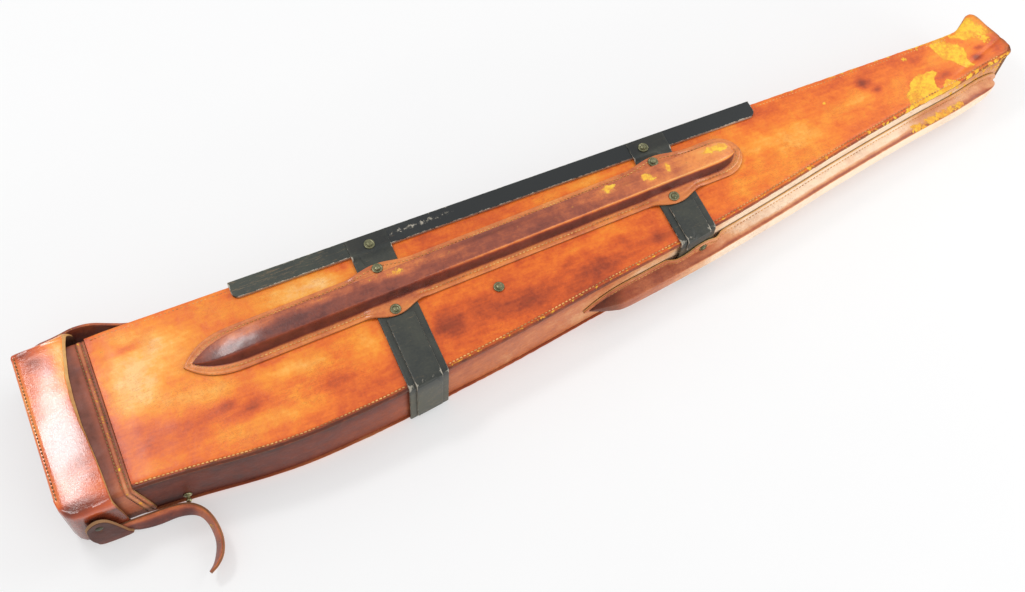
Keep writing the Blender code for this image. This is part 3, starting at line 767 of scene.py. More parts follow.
PANEL_SPOTS = [
    (115, -30, 13, 5, -0.3, 0.3, 0),
    (132, -44, 62, 36, 0.38, 0, 0),
    (120, -75, 20, 10, 0.1, 0, 0),
    (108, -92, 26, 15, 0.26, 0, 0),
    (168, -110, 46, 10, 0.16, 0, 0),
    (98, -124, 12, 7, -0.14, 0, 0),
    (150, -141, 72, 10, -0.12, 0.02, 0),
    (176, -131, 30, 5, -0.14, 0.02, 0),
    (212, -143, 11, 6, -0.22, 0.2, 0),
    (190, -131, 8, 5, -0.2, 0.2, 0),
    (226, -164, 40, 10, 0.28, 0, 0),
    (262, -116, 36, 13, 0.34, 0, 0),
    (300, -147, 20, 9, -0.28, 0.16, 0),
    (347, -120, 16, 20, 0.3, 0, 0),
    (110, -170, 34, 6, 0.08, 0, 0),
    (335, -168, 34, 12, -0.12, 0, 0),
    (310, -34, 56, 14, 0.46, 0, 0),
    (354, -24, 9, 8, -0.16, 0.05, 0),
    (520, -26, 110, 10, -0.1, 0, 0),
    (104, -62, 26, 16, 0.16, 0, 0),
    (540, -110, 120, 44, -0.08, 0.03, 0),
    (636, -92, 9, 1.2, 0.1, 0, 0.42),
    (650, -86, 8, 1.0, 0.1, 0, 0.4),
    (600, -118, 11, 1.3, 0.1, 0, 0.38),
    (150, -62, 10, 0.9, 0.2, 0, 0.3),
    (436, -134, 17, 18, -0.24, 0.2, 0),
    (520, -138, 64, 14, -0.24, 0.12, 0),
    (460, -106, 40, 8, 0.08, 0, 0),
    (565, -104, 34, 9, 0.14, 0, 0),
    (640, -98, 28, 9, 0.16, 0, 0),
    (692, -122, 20, 9, -0.2, 0.3, 0),
    (625, -130, 32, 8, -0.2, 0.08, 0),
    (655, -25, 60, 7, 0.22, 0, 0),
    (690, -100, 18, 8, -0.04, 0, 0),
    (830, -100, 60, 12, 0.06, 0, 0),
    (850, -48, 56, 24, 0.18, 0, 0),
    (915, -62, 50, 20, 0.16, 0, 0),
    (885, -16, 28, 10, -0.14, 0, 0),
    (1000, -12, 80, 9, -0.12, 0, 0),
    (990, -70, 40, 12, -0.08, 0, 0),
    (1017, -24, 9, 7, -0.42, 0.28, 0),
    (1029, -39, 6, 5, -0.34, 0.22, 0),
    (1004, -44, 24, 7, 0.2, 0, 0),
    (959, -32, 3.4, 2.6, 0, 0, 1.0),
    (881, -82, 4.5, 2.2, 0, 0, 0.9),
    (1084, -12, 3.5, 4, 0, 0.2, 0.75),
    (1150, -30, 18, 14, 0.1, 0, 0.2),
    (1180, 0, 20, 12, 0.24, 0, 0.34),
    (1196, -18, 14, 14, 0.16, 0.06, 0.3),
    (1140, -20, 26, 16, 0.12, 0, 0.2),
    (1188, -8, 26, 18, 0.04, 0.12, 0.3),
    (1204, -30, 12, 16, -0.2, 0.22, 0.1),
    (1171, -42, 8, 6, -0.45, 0.1, -0.3),
    (1181, -31, 6, 4, -0.3, 0.1, -0.2),
    (1120, -50, 12, 6, -0.25, 0, 0),
    (1096, -14, 16, 8, -0.16, 0, 0),
]


# Where the glaze has come off in whole flakes.
FLAKES = [
    [(1056, -76), (1058, -60), (1067, -53), (1071, -45), (1085, -39), (1108, -39), (1113, -44)]
    + [(1102, -53), (1099, -61), (1106, -72), (1090, -74)],
    [(1110, -60), (1118, -57), (1124, -63), (1119, -71), (1110, -70)],
    [(1127, -6), (1140, -5), (1150, -14), (1161, -24), (1158, -36), (1161, -51), (1150, -51)]
    + [(1141, -37), (1131, -29), (1127, -17)],
    [(1164, -5), (1176, 1), (1190, 12), (1195, 9), (1186, -5), (1172, -14)],
]
MUZZLE_EDGE = [(-54.0, 1212.0), (-42.0, 1220.0), (-18.0, 1215.0), (8.0, 1208.5), (16.0, 1205.0)]


def depth_in(x, y, corners):
    """Distance in from a closed outline, negative outside it."""
    inside = False
    nearest = 1e9
    for (x0, y0), (x1, y1) in zip(corners, corners[1:] + corners[:1]):
        run, rise = x1 - x0, y1 - y0
        t = clamp(((x - x0) * run + (y - y0) * rise) / (run**2 + rise**2))
        nearest = min(nearest, math.hypot(x - x0 - t * run, y - y0 - t * rise))
        if (y0 > y) != (y1 > y) and x < x0 + run * (y - y0) / rise:
            inside = not inside
    return nearest if inside else -nearest


def panel_base(x, y):
    below = y - edge_y(min(x, 1210.0))
    seam = math.exp(-max(below - 1.0, 0.0) / 4.5)
    top = math.exp(-max(-y, 0.0) / 5.5) if x < 1160 else 0.0
    side = math.exp(-max(x - BODY_X0, 0.0) / 5.0)
    end = math.exp(-max(look_up(MUZZLE_EDGE, y) - x, 0.0) / 5.0) if x > 1170 else 0.0
    end = max(end, math.exp(-max(look_up(MUZZLE_HUMP, x) - y, 0.0) / 2.0)) if x > 1164 else end
    far = ease(780.0, 1000.0, x)
    tone = 0.53 - 0.1 * seam - 0.16 * side * (1.0 - far) - 0.05 * top
    tone += 0.05 * far
    grime_and_shade = 0.15 * seam + 0.2 * side + 0.85 * end * ease(-56.0, -44.0, y)
    lively = 0.5 + 0.5 * ripple(x, 0.0, 9.0, 41.0)
    rim = 1.1 + 1.2 * ease(700.0, 420.0, x)
    grime_and_shade += (0.5 + 0.4 * lively) * math.exp(-(((below - 0.7) / rim) ** 2))
    grime_and_shade += (0.35 + 0.3 * lively) * math.exp(-(((below - 5.2) / 1.3) ** 2))
    frayed = math.exp(-(((below - 3.0) / 1.6) ** 2))
    grime_and_shade += 0.3 * frayed * (1.0 - lively)
    grime_and_shade += 0.6 * ease(440.0, 300.0, x) * (0.45 + 0.55 * lively) * math.exp(-(((below - 2.4) / 2.8) ** 2))
    grime_and_shade += 0.8 * lively * math.exp(-(((below - 9.0) / 1.6) ** 2)) * ease(1100.0, 1140.0, x)
    for x0 in HOOP_X.values():
        beside = max(x0 - x, x - x0 - HOOP_WIDTH, 0.0)
        grime_and_shade += 0.3 * math.exp(-beside / 4.0)
    under = ease(-96.0, -112.0, y) * ease(410.0, 430.0, x) * ease(700.0, 640.0, x)
    tone -= 0.06 * under
    worn = seam * (0.12 + 0.12 * ease(330.0, 420.0, x) + (0.04 + 0.36 * lively) * far)
    worn += (0.14 + 0.2 * ease(380.0, 430.0, x) - 0.2 * far) * frayed * (0.5 + lively)
    worn += top * (0.1 + 0.85 * ease(868.0, 900.0, x)) * (0.25 + 0.75 * lively)
    if x > 1040.0:
        for corners in FLAKES:
            worn += 0.95 * ease(-5.0, 5.0, depth_in(x, y, corners))
    worn += 0.12 * ease(1040.0, 1200.0, x)
    return tone, grime_and_shade, worn


def flat_paint(tone, grime_and_shade=0.0, worn=0.0):
    return lambda x, y, z: (tone, grime_and_shade, worn)


front_panel_paint = painted(panel_base, PANEL_SPOTS)

# Tone along the bottom gusset, dark red-brown at the cap end to pale toward the muzzle: paler worn leather together
# with painted light falloff and glare from the front right.
GUSSET_TONE = [(75, 0.04), (200, 0.08), (340, 0.22), (420, 0.46), (560, 0.56), (640, 0.68), (720, 0.86)]
GUSSET_TONE += [(800, 1.0), (900, 1.12), (1040, 1.08), (1120, 0.84), (1180, 0.7), (1220, 0.6)]


def bottom_gusset_paint(x, y, z):
    # A little lighter low down and darker near the top edge, there partly grime and partly painted shade under the
    # front panel's edge.
    tone = look_up(GUSSET_TONE, x) + 0.1 * ease(66.0, 45.0, z) - 0.1 * ease(60.0, 72.0, z)
    # Painted shade under the front panel's overhanging edge, and in the long creases below.
    lip_and_crease_shade = 0.5 * ease(66.0, 73.0, z) * ease(900.0, 700.0, x)
    foot = 0.15 * ease(14.0, 5.0, z)
    far = ease(600.0, 950.0, x)
    worn = 0.1 * far + 0.5 * far * ease(62.0, 72.0, z) + 0.36 * ease(1070.0, 1130.0, x)
    for crease in gusset_creases(x):
        lip_and_crease_shade += 0.3 * far * math.exp(-(((z - crease) / 1.1) ** 2))
    return tone, lip_and_crease_shade + foot, worn


# ---------------------------------------------------------------- body


PANEL_STEPS = [0.0, 0.3, 0.8, 1.5, 2.3, 3.3, 4.3, 5.2, 6.1, 7.4, 10.0]


def panel_curves():
    """Bottom, top, left and right edges of a panel, each running the way X or Y grows."""
    bottom = [(x, edge_y(x)) for x in steps(BODY_X0, 1208.0, 6.0)]
    bottom += [tuple(p) for p in smooth_line([(1208.0, edge_y(1208.0))] + MUZZLE_LOW[1:], 8)][1:]
    top = [(x, 0.0) for x in steps(BODY_X0, 1118.0, 10.0)]
    top += [tuple(p) for p in smooth_line(MUZZLE_HUMP, 26)]
    right = smooth_line(MUZZLE_TIP, 24)
    left = [(BODY_X0, edge_y(BODY_X0)), (BODY_X0, 0.0)]
    return bottom, top, left, right


def panel_grid():
    """Rows of (x, y, distances in from the bottom, top, left and right edges)."""
    bottom, top, left, right = panel_curves()
    length = line_length(bottom)
    ends = PANEL_STEPS
    along = [d / length for d in ends]
    along += [d / length for d in steps(ends[-1], length - ends[-1], 4.0)[1:-1]]
    along += [1.0 - d / length for d in reversed(ends)]
    fine = even(bottom, 2001), even(top, 2001)
    side = even(left, 501), even(right, 501)
    corners = [Vector(p) for p in (bottom[0], bottom[-1], top[0], top[-1])]
    rows = []
    for u in along:
        low, high = fine[0][round(u * 2000)], fine[1][round(u * 2000)]
        width = (high - low).length
        across = [d / width for d in ends]
        across += [d / width for d in steps(ends[-1], width - ends[-1], (width - 20.0) / 44.0)[1:-1]]
        across += [1.0 - d / width for d in reversed(ends)]
        row = []
        for v in across:
            a, b = side[0][round(v * 500)], side[1][round(v * 500)]
            place = low.lerp(high, v) + a.lerp(b, u)
            place -= corners[0].lerp(corners[1], u).lerp(corners[2].lerp(corners[3], u), v)
            row.append((place.x, place.y, v * width, (1 - v) * width, u * length, (1 - u) * length))
        rows.append(row)
    return rows


def panel_relief(x, y, low, high, left, right, seam):
    """Height of a panel's face over its own plane: rounded edges, a sewn groove, slight waves."""
    height = -drop(low, 2.3) - drop(high, 2.3) - drop(right, 3.0)
    height -= 1.3 * (1 - ease(0.0, 24.0, left))
    height -= 0.25 + 0.25 * ripple(x, y, 60.0, 1.0) + 0.12 * ripple(x, y, 17.0, 2.0)
    height -= groove(low - seam, 0.9, 0.45)
    swell = ease(1150.0, 1200.0, x) * ease(-30.0, 12.0, y)
    height += 2.2 * swell * ease(0.0, 7.0, min(high, right))
    fold = y + 40.0 - 0.35 * (x - 1180.0)
    height -= 0.8 * math.exp(-((fold / 2.5) ** 2)) * ease(1120.0, 1160.0, x)
    crease = (x - 1171.0) - (y + 0.0) * -0.55
    height -= 1.3 * math.exp(-((crease / 3.0) ** 2)) * ease(-34.0, -4.0, y)
    rag = ease(800.0, 1000.0, x) * math.exp(-low / 4.0) + 0.6 * math.exp(-high / 3.0) * ease(880, 900, x)
    height += 0.7 * rag * ripple(x, y, 5.0, 3.0)
    return height


def add_panels(finish):
    grid = panel_grid()
    for name, side in (("front_panel", 1.0), ("back_panel", -1.0)):
        face = FRONT_Z if side > 0 else BACK_Z
        outer, inner = [], []
        for row in grid:
            rag = [0.5 * ripple(x, y, 6.0, 4.0) * ease(7.0, 0.0, min(low, high)) for x, y, low, high, _, _ in row]
            outer.append(
                [
                    (x, y + rag[k] * (ease(60, 300, left)), face + side * panel_relief(x, y, low, high, left, right, 5.2))
                    for k, (x, y, low, high, left, right) in enumerate(row)
                ]
            )
            inner.append([(p[0], p[1], face - side * PANEL_T) for p in outer[-1]])
        solid, _, _ = shell(outer, inner)
        if side > 0:
            paint = lambda x, y, z: front_panel_paint(x, y)
            finishes = (finish["panel"], finish["flesh"], finish["dark_cut"])
        else:
            paint = back_panel_paint
            finishes = (finish["panel"], finish["gusset"], finish["gusset"])
        add_piece(name, solid, finishes, "case", (name,), paint)


def back_panel_paint(x, y, z):
    tone = 0.36 + 0.16 * ripple(x, y, 90.0, 9.0) + 0.08 * ease(500, 1100, x)
    edge = math.exp(-min(-y, y - edge_y(min(x, 1210.0))) / 6.0) if y < 0 else 1.0
    return tone + 0.2 * edge, 0.22 + 0.08 * edge, 0.1 + 0.16 * edge


def gusset_creases(x):
    """Heights of the long creases in the bottom gusset."""
    wander = 1.6 * ripple(x, 0.0, 90.0, 5.0)
    return (66.5 + 0.5 * wander, 62.0 - wander, 57.0 + wander - 1.5 * ease(900, 1150, x))


def on_gusset(x, z, height):
    """A place on the bottom gusset, a height out from its outer face."""
    slope = (edge_y(x + 2.0) - edge_y(x - 2.0)) / 4.0
    length = math.hypot(1.0, slope)
    surface = edge_y(x) + OVERHANG * length
    return (x + height * slope / length, surface - height / length, z)


def gusset_normal(x):
    slope = (edge_y(x + 2.0) - edge_y(x - 2.0)) / 4.0
    return Vector((slope, -1.0, 0.0)).normalized()


def between_panels():
    return BACK_Z + PANEL_T + GAP, FRONT_Z - PANEL_T - GAP


def add_gussets(finish):
    low, high = between_panels()
    heights = [low, low + 0.8] + steps(low + 2.5, high - 2.5, 2.0) + [high - 0.8, high]
    outer, inner = [], []
    for u in steps(0.0, 1.0, 1 / 260):
        rows = [], []
        for z in heights:
            slant = GUSSET_SLANT * (high - z) / (high - low) * ease(7.0, 11.5, z)
            start = BODY_X0 + slant + 0.5 - 2.5 * ease(71.0, 68.0, z)
            x = start + (1209.0 - start) * u
            away = -0.3 - 0.25 * ripple(x, z, 40.0, 6.0)
            away -= 0.12 * math.sin(math.pi * (z - low) / (high - low)) * ease(560, 590, x)
            depth = 0.35 + 0.75 * ease(560.0, 820.0, x)
            for crease in gusset_creases(x):
                away -= groove(z - crease, 1.3, depth * ease(430.0, 640.0, x))
            rows[0].append(on_gusset(x, z, away))
            rows[1].append(on_gusset(x, z, -GUSSET_T - 1.2))
        outer.append(rows[0])
        inner.append(rows[1])
    solid, _, _ = shell(outer, inner)
    nodes = ("bottom_gusset_wide", "bottom_gusset_middle", "bottom_gusset_narrow")
    finishes = (finish["gusset"], finish["flesh"], finish["dark_cut"])
    add_piece("bottom_gusset", solid, finishes, "case", nodes, bottom_gusset_paint)

    def top_paint(x, y, z):
        rim = ease(62.0, 73.0, z) + ease(16.0, 6.0, z)
        return 0.3 + 0.25 * ease(400, 1100, x), 0.2 + 0.3 * rim, 0.1 + 0.4 * rim * ease(700, 950, x)

    outer, inner = [], []
    for x in steps(BODY_X0, TOP_GUSSET_X1, 6.0):
        waves = [0.3 + 0.3 * ripple(x, z, 45.0, 8.0) for z in heights]
        outer.append([(x, -OVERHANG - w, z) for z, w in zip(heights, waves)])
        inner.append([(x, -OVERHANG - GUSSET_T, z) for z in heights])
    solid, _, _ = shell(outer, inner)
    add_piece("top_gusset", solid, finishes, "case", ("top_gusset",), top_paint)

    line = [tuple(p) for p in smooth_line(MUZZLE_LOW[1:] + MUZZLE_TIP[1:] + MUZZLE_HUMP[-2::-1], 90)]
    line[-1] = (TOP_GUSSET_X1 + GAP, 0.0)
    outside = offset_line(line, 1.5)
    inside = offset_line(line, 4.5)
    outer, inner = [], []
    for (x0, y0), (x1, y1) in zip(outside, inside):
        outer.append([(x0, y0, z) for z in heights])
        inner.append([(x1, y1, z) for z in heights])
    solid, _, _ = shell(outer, inner)

    def end_paint(x, y, z):
        rim = ease(64.0, 73.0, z) + ease(14.0, 6.0, z)
        tip = ease(1120.0, 1200.0, x)
        return 0.55 + 0.05 * tip, 0.2 + 0.25 * rim, 0.14 + 0.26 * tip + 0.26 * rim

    add_piece("muzzle_gusset", solid, finishes, "case", ("muzzle_gusset",), end_paint)


# ---------------------------------------------------------------- collar and cap


def loop(box, radius, sides=(30, 14)):
    """A rounded rectangle of (y, z) places, starting at the front's top end and going
    down the front, along the bottom side, up the back and along the top side."""
    y0, y1, z0, z1 = box
    places = []
    corners = (
        ((y0 + radius, z1 - radius), 90.0, sides[0]),
        ((y0 + radius, z0 + radius), 180.0, sides[1]),
        ((y1 - radius, z0 + radius), 270.0, sides[0]),
        ((y1 - radius, z1 - radius), 0.0, sides[1]),
    )
    previous = (y1 - radius, z1)
    for (cy, cz), turn, count in corners:
        arc = []
        for k in range(7):
            angle = math.radians(turn + 90.0 * k / 6)
            arc.append((cy + radius * math.cos(angle), cz + radius * math.sin(angle)))
        start = arc[0]
        for k in range(1, count):
            t = k / count
            places.append((previous[0] + (start[0] - previous[0]) * t, previous[1] + (start[1] - previous[1]) * t))
        places += arc
        previous = arc[-1]
    return places


def add_collar(finish):
    y0, y1, z0, z1 = COLLAR_BOX

    def right_end(y, z):
        slant = (GUSSET_SLANT - 0.6) * clamp((71.3 - z) / 63.0) * ease(5.6, 9.0, z)
        return COLLAR_X1 + slant * ease(y0 + 6.0, y0 + 3.0, y)

    xs = [0.0, 0.02, 0.05] + steps(0.1, 0.9, 0.035) + [0.94, 0.965, 0.985, 1.0]
    outer_loop = loop(COLLAR_BOX, 5.0)
    inner_loop = loop((y0 + COLLAR_T, y1 - COLLAR_T, z0 + COLLAR_T, z1 - COLLAR_T), 2.2)
    outer, inner = [], []
    for u in xs:
        rows = [], []
        for (ya, za), (yb, zb) in zip(outer_loop, inner_loop):
            end = right_end(ya, za)
            x = COLLAR_X0 + (end - COLLAR_X0) * u
            from_end = end - x
            sunk = drop(from_end, 1.1) + groove(from_end - 3.6, 0.8, 0.5) + groove(from_end - 9.6, 0.8, 0.5)
            sunk += 0.25 + 0.2 * ripple(x, ya + za, 24.0, 11.0) - groove(from_end - 6.6, 1.8, 0.35)
            share = sunk / COLLAR_T
            rows[0].append((x, ya + (yb - ya) * share, za + (zb - za) * share))
            rows[1].append((x, yb, zb))
        outer.append(rows[0])
        inner.append(rows[1])
    solid, _, _ = shell(outer, inner, closed=True)

    def paint(x, y, z):
        edge = right_end(y, z) - x
        ridge = math.exp(-(((edge - 6.6) / 2.4) ** 2))
        tone = 0.4 + 0.16 * ridge + 0.2 * math.exp(-max(edge, 0.0) / 1.4)
        tone += 0.1 * ease(-40.0, -10.0, y) + 0.12 * ease(-150.0, -176.0, y)
        sewn = math.exp(-(((edge - 3.6) / 0.9) ** 2)) + math.exp(-(((edge - 9.6) / 0.9) ** 2))
        # Grime all over, painted shade under the cap's lip toward the left end, dark stitch rows and patchy dirt.
        grime_and_shade = 0.26 + 0.45 * ease(63.0, 55.0, x) + 0.5 * sewn + 0.2 * ripple(y, z, 26.0, 12.0)
        return tone, grime_and_shade, 0.14 + 0.3 * ridge

    nodes = ("collar_front", "collar_back", "collar_top", "collar_bottom")
    finishes = (finish["collar"], finish["flesh"], finish["cut"])
    add_piece("collar", solid, finishes, "case", nodes, paint)


def cap_lip(y, z):
    """X of the cap's open edge at a place round its mouth."""
    y0, y1, z0, z1 = CAP_BOX
    face = look_up(CAP_LIP, y)
    down = (z1 - z) / (z1 - z0)
    wall = 53.0 + 9.0 * down
    under = ease(-180.0, -187.0, y) * ease(1.5, 6.0, z)
    over = ease(1.0, 7.5, y) * ease(2.0, 14.0, z) * ease(78.5, 66.0, z)
    return face + (wall - face) * under + (65.0 - face) * over + 0.3 * ripple(y, z, 14.0, 13.0)


CAP_FLARE = [(0.0, 1.0), (22.0, 1.8), (38.0, 3.0), (50.0, 4.4), (58.0, 5.4)]


def cap_bevel(y, z):
    """Width of the pale bevelled cut round the cap's mouth."""
    return 0.9 + 2.3 * ease(-112.0, -58.0, y) * ease(70.0, 76.0, z)


def cap_box(x, inset):
    """The cap's section at X: its top side flares toward the mouth and its outer end is rounded."""
    y0, y1, z0, z1 = CAP_BOX
    y1 += look_up(CAP_FLARE, x)
    low = y0 if x >= 22.0 else look_up(CAP_CORNER, x)
    pull = drop(x, 3.5)
    return (low + inset, y1 - inset - pull, z0 + inset + pull, z1 - inset - pull)


def add_cap(finish):
    rings = {OUTER: [], INNER: []}
    shares = [0.0, 0.012, 0.03, 0.06] + steps(0.1, 1.0, 0.045)
    ends = [2.9, 2.2, 1.5, 0.9, 0.45, 0.15, 0.0]
    for kind, inset in ((OUTER, 0.0), (INNER, CAP_T)):
        mouth = loop(cap_box(60.0, inset), 8.0 - inset)
        stations = [("share", s) for s in shares] + [("x", x) for x in ends]
        for how, value in stations:
            row = []
            for k, (ym, zm) in enumerate(mouth):
                lip = cap_lip(ym, zm)
                if kind == OUTER:
                    lip -= cap_bevel(ym, zm)
                x = lip + (3.6 - lip) * value if how == "share" else value
                y0, y1, z0, z1 = cap_box(x, inset)
                full = cap_box(60.0, inset)
                y = y0 + (ym - full[0]) / (full[1] - full[0]) * (y1 - y0)
                z = z0 + (zm - full[2]) / (full[3] - full[2]) * (z1 - z0)
                if kind == OUTER:
                    crown = 0.0
                    if zm > full[3] - 0.5:
                        across = (y - y0) / (y1 - y0)
                        crown = -0.9 * (1 - math.sin(math.pi * clamp(across))) - 0.015 * (x - 26.0) ** 2 / 10
                    crown -= drop(lip - x, 0.5) if how == "share" else 0.0
                    crown -= groove(x - 3.4, 0.9, 0.5) + 0.15 + 0.2 * ripple(x + zm, y, 26.0, 14.0)
                    middle = ((y0 + y1) / 2, (z0 + z1) / 2)
                    if zm > full[3] - 4.0 or zm < full[2] + 4.0:
                        z += crown * (1 if z > middle[1] else -1)
                    else:
                        y += crown * (1 if y > middle[0] else -1)
                row.append((x + (CAP_T if kind == INNER and how == "x" else 0.0) * (1 - value / 3.6 if how == "x" else 0), y, z))
            rings[kind].append(row)
        edge = rings[kind][-1]
        middle = Vector((0.0, sum(p[1] for p in edge) / len(edge), sum(p[2] for p in edge) / len(edge)))
        flat = 0.0 if kind == OUTER else CAP_T
        for shrink in (0.96, 0.85, 0.6, 0.3):
            bulge = 0.35 * (1 - shrink) if kind == OUTER else 0.0
            row = []
            for p in edge:
                row.append((flat - bulge + 0.3, middle.y + (p[1] - middle.y) * shrink, middle.z + (p[2] - middle.z) * shrink))
            rings[kind].append(row)
    solid, a, b = shell(rings[OUTER], rings[INNER], closed=True, cut_end=False)
    for numbers, kind in ((a[-1], OUTER), (b[-1], INNER)):
        spots = [Vector(solid.points[n]) for n in numbers]
        solid.fan(numbers, sum(spots, Vector()) / len(spots), kind)

    spots = [
        (10, 4, 12, 8, -0.3, 0.42, 0),
        (20, -10, 10, 7, -0.22, 0.32, 0),
        (30, -22, 14, 12, -0.1, 0.02, 0),
        (34, -48, 9, 9, 0.0, 0.2, 0),
        (47, -8, 9, 30, 0.42, 0, 0),
        (42, -36, 8, 16, 0.14, 0, 0),
        (4, -90, 3.5, 90, 0.24, 0, 0.1),
        (28, -108, 26, 46, -0.36, 0, 0),
        (12, -179, 18, 9, -0.26, 0.42, 0.1),
        (34, -180, 28, 9, -0.24, 0.34, 0),
        (42, -175, 11, 7, 0.05, 0, 0.2),
    ]

    def base(x, y):
        return 0.5, 0.04, 0.12 * math.exp(-max(x, 0.0) / 3.0)

    face = painted(base, spots)

    def paint(x, y, z):
        tone, grime_and_shade, worn = face(x, y)
        if z < 72.0:
            side = ease(72.0, 60.0, z)
            tone += (0.1 - tone) * side
            grime_and_shade += (0.6 - grime_and_shade) * side
        worn += 0.2 * math.exp(-max(cap_lip(y, z) - x, 0.0) / 2.0)
        return tone, grime_and_shade, worn

    nodes = ("cap_front", "cap_back", "cap_top_wall", "cap_end_wall", "cap_bottom_wall")
    finishes = (finish["cap"], finish["flesh"], finish["cut"])
    add_piece("cap_shell", solid, finishes, "cap", nodes, paint)


# ---------------------------------------------------------------- straps and tab


def add_hinge_strap(finish):
    line = [tuple(p) for p in smooth_line(HINGE_PATH, 90)]
    normals = [Vector(b) - Vector(a) for a, b in zip(line, offset_line(line, 1.0))]
    z0, z1 = HINGE_Z
    outer, inner = [], []
    total = len(line)
    for k, ((x, y), n) in enumerate(zip(line, normals)):
        share = k / (total - 1)
        thick = HINGE_T * (0.35 + 0.65 * ease(0.0, 0.08, share) * ease(1.0, 0.9, share))
        lean = 1.0 * math.exp(-(((x - 80.0) / 16.0) ** 2))
        heights = [z0, z0 + 0.4, z0 + 1.2, z0 + 3.0] + steps(z0 + 5.0, z1 - 5.0, 4.0) + [z1 - 3.0, z1 - 1.2, z1 - 0.4, z1]
        rows = [], []
        for z in heights:
            edge = min(z - z0, z1 - z)
            up = thick - drop(edge, 1.0) - groove(edge - 3.2, 0.8, 0.35) * (1 if x < 60 or x > 120 else 0)
            out = lean * (z - z0) / (z1 - z0) + 0.25 * ripple(x, z, 18.0, 15.0) * ease(60, 70, x) * ease(112, 100, x)
            rows[0].append((x + n.x * (up + out), y + n.y * (up + out), z))
            rows[1].append((x + n.x * out, y + n.y * out, z))
        outer.append(rows[0])
        inner.append(rows[1])
    solid, _, _ = shell(outer, inner)

    def paint(x, y, z):
        return 0.5 + 0.1 * ripple(x, z, 25.0, 16.0), 0.12, 0.08 + 0.25 * ease(67.0, 71.0, z)

    nodes = ("hinge_strap_cap", "hinge_strap_body")
    finishes = (finish["strap"], finish["strap"], finish["strap"])
    piece = add_piece("hinge_strap", solid, finishes, None, nodes, paint)
    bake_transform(piece)


def add_closing_strap(finish):
    high = smooth_line(STRAP_HIGH, 110)
    low = smooth_line(STRAP_LOW, 110)
    z0, z1 = STRAP_Z
    outer, inner = [], []
    total = len(high)
    for k in range(total):
        share = k / (total - 1)
        ahead = min(k + 1, total - 1)
        behind = max(k - 1, 0)
        tip = ease(1.0, 0.86, share) ** 0.6
        half = (z1 - z0) / 2 * (0.34 + 0.66 * tip)
        middle = (z0 + z1) / 2 + (1.0 - tip) * 3.0
        wave = 0.9 * ripple(k, 0.0, 7.0, 17.0)
        rows = [], []
        for v in (-1.0, -0.97, -0.9, -0.75, -0.5, -0.25, 0.0, 0.25, 0.5, 0.75, 0.9, 0.97, 1.0):
            z = middle + half * v + wave * (1 - tip * 0.5)
            share_up = (z - z0) / (z1 - z0)
            place = low[k].lerp(high[k], share_up)
            run = low[ahead].lerp(high[ahead], share_up) - low[behind].lerp(high[behind], share_up)
            out = Vector((run.y, -run.x)).normalized()
            from_edge = half * (1 - abs(v))
            thick = STRAP_T / 2 - drop(from_edge, 0.9) * 0.8
            bow = -0.5 * v * v
            for row, sign in ((rows[0], 1.0), (rows[1], -1.0)):
                spot = place + out * (sign * thick + bow)
                row.append((spot.x, spot.y, max(z, 0.7)))
        outer.append(rows[0])
        inner.append(rows[1])
    solid, _, _ = shell(outer, inner)

    def paint(x, y, z):
        ragged = 0.35 * ease(8.0, 2.0, z) + 0.3 * ease(-215.0, -245.0, y) * ease(14.0, 4.0, z)
        lit = max(ease(13.0, 20.0, z), 0.75 * ease(108.0, 126.0, x))
        tone = 0.19 + 0.36 * lit + 0.16 * ripple(x, y, 16.0, 18.0)
        return tone, 0.12 + ragged + 0.3 * ease(66.0, 56.0, x), 0.2 + 0.15 * ease(-196.0, -220.0, y)

    finishes = (finish["strap"], finish["strap"], finish["dark_cut"])
    nodes = ("strap_root", "closing_strap")
    piece = add_piece("strap_loose", solid, finishes, None, nodes, paint)
    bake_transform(piece)


def add_tab(finish):
    outline = smooth_line(TAB_OUTLINE, 72, closed=True)[:-1]
    middle = sum(outline, Vector((0.0, 0.0))) / len(outline)
    rivet = Vector((30.0, 45.0))
    rings = {OUTER: [], INNER: []}
    for shrink in (1.0, 0.985, 0.95, 0.9, 0.8, 0.66, 0.5, 0.33, 0.16):
        rows = [], []
        for p in outline:
            spot = middle + (p - middle) * (shrink * 0.95)
            spot.y = max(spot.y, 1.5)
            edge = (1 - shrink) * (p - middle).length
            dimple = groove((spot - rivet).length, 6.5, 1.5)
            lift = TAB_T - drop(edge, 0.5) + 0.7 * (1 - shrink) - dimple
            rows[0].append((spot.x, TAB_Y - max(lift, 0.4), spot.y))
            under = middle + (p - middle) * shrink
            rows[1].append((under.x, TAB_Y, max(under.y, 1.5)))
        rings[OUTER].append(rows[0])
        rings[INNER].append(rows[1])
    solid, a, b = shell(rings[OUTER], rings[INNER], closed=True, cut_end=False)
    for numbers, kind in ((a[-1], OUTER), (b[-1], INNER)):
        spots = [Vector(solid.points[n]) for n in numbers]
        solid.fan(numbers, sum(spots, Vector()) / len(spots), kind)

    def paint(x, y, z):
        # Dark leather with a painted highlight toward its lower end and painted shade in the rivet's dimple.
        dimple_shade = math.exp(-(((x - 30.0) / 8.0) ** 2 + ((z - 45.0) / 8.0) ** 2))
        return 0.04 + 0.2 * ease(22.0, 5.0, z), 0.62 + 0.38 * dimple_shade, 0.02

    finishes = (finish["gusset"], finish["flesh"], finish["pale_cut"])
    add_piece("strap_tab_leather", solid, finishes, "cap", ("strap_tab",), paint)


# ---------------------------------------------------------------- ribs


def ramp(x, start, end, reach):
    """1 between start and end, falling to 0 within reach on either side."""
    away = max(start - x, x - end, 0.0)
    if away >= reach:
        return 0.0
    return 0.5 + 0.5 * math.cos(math.pi * away / reach)


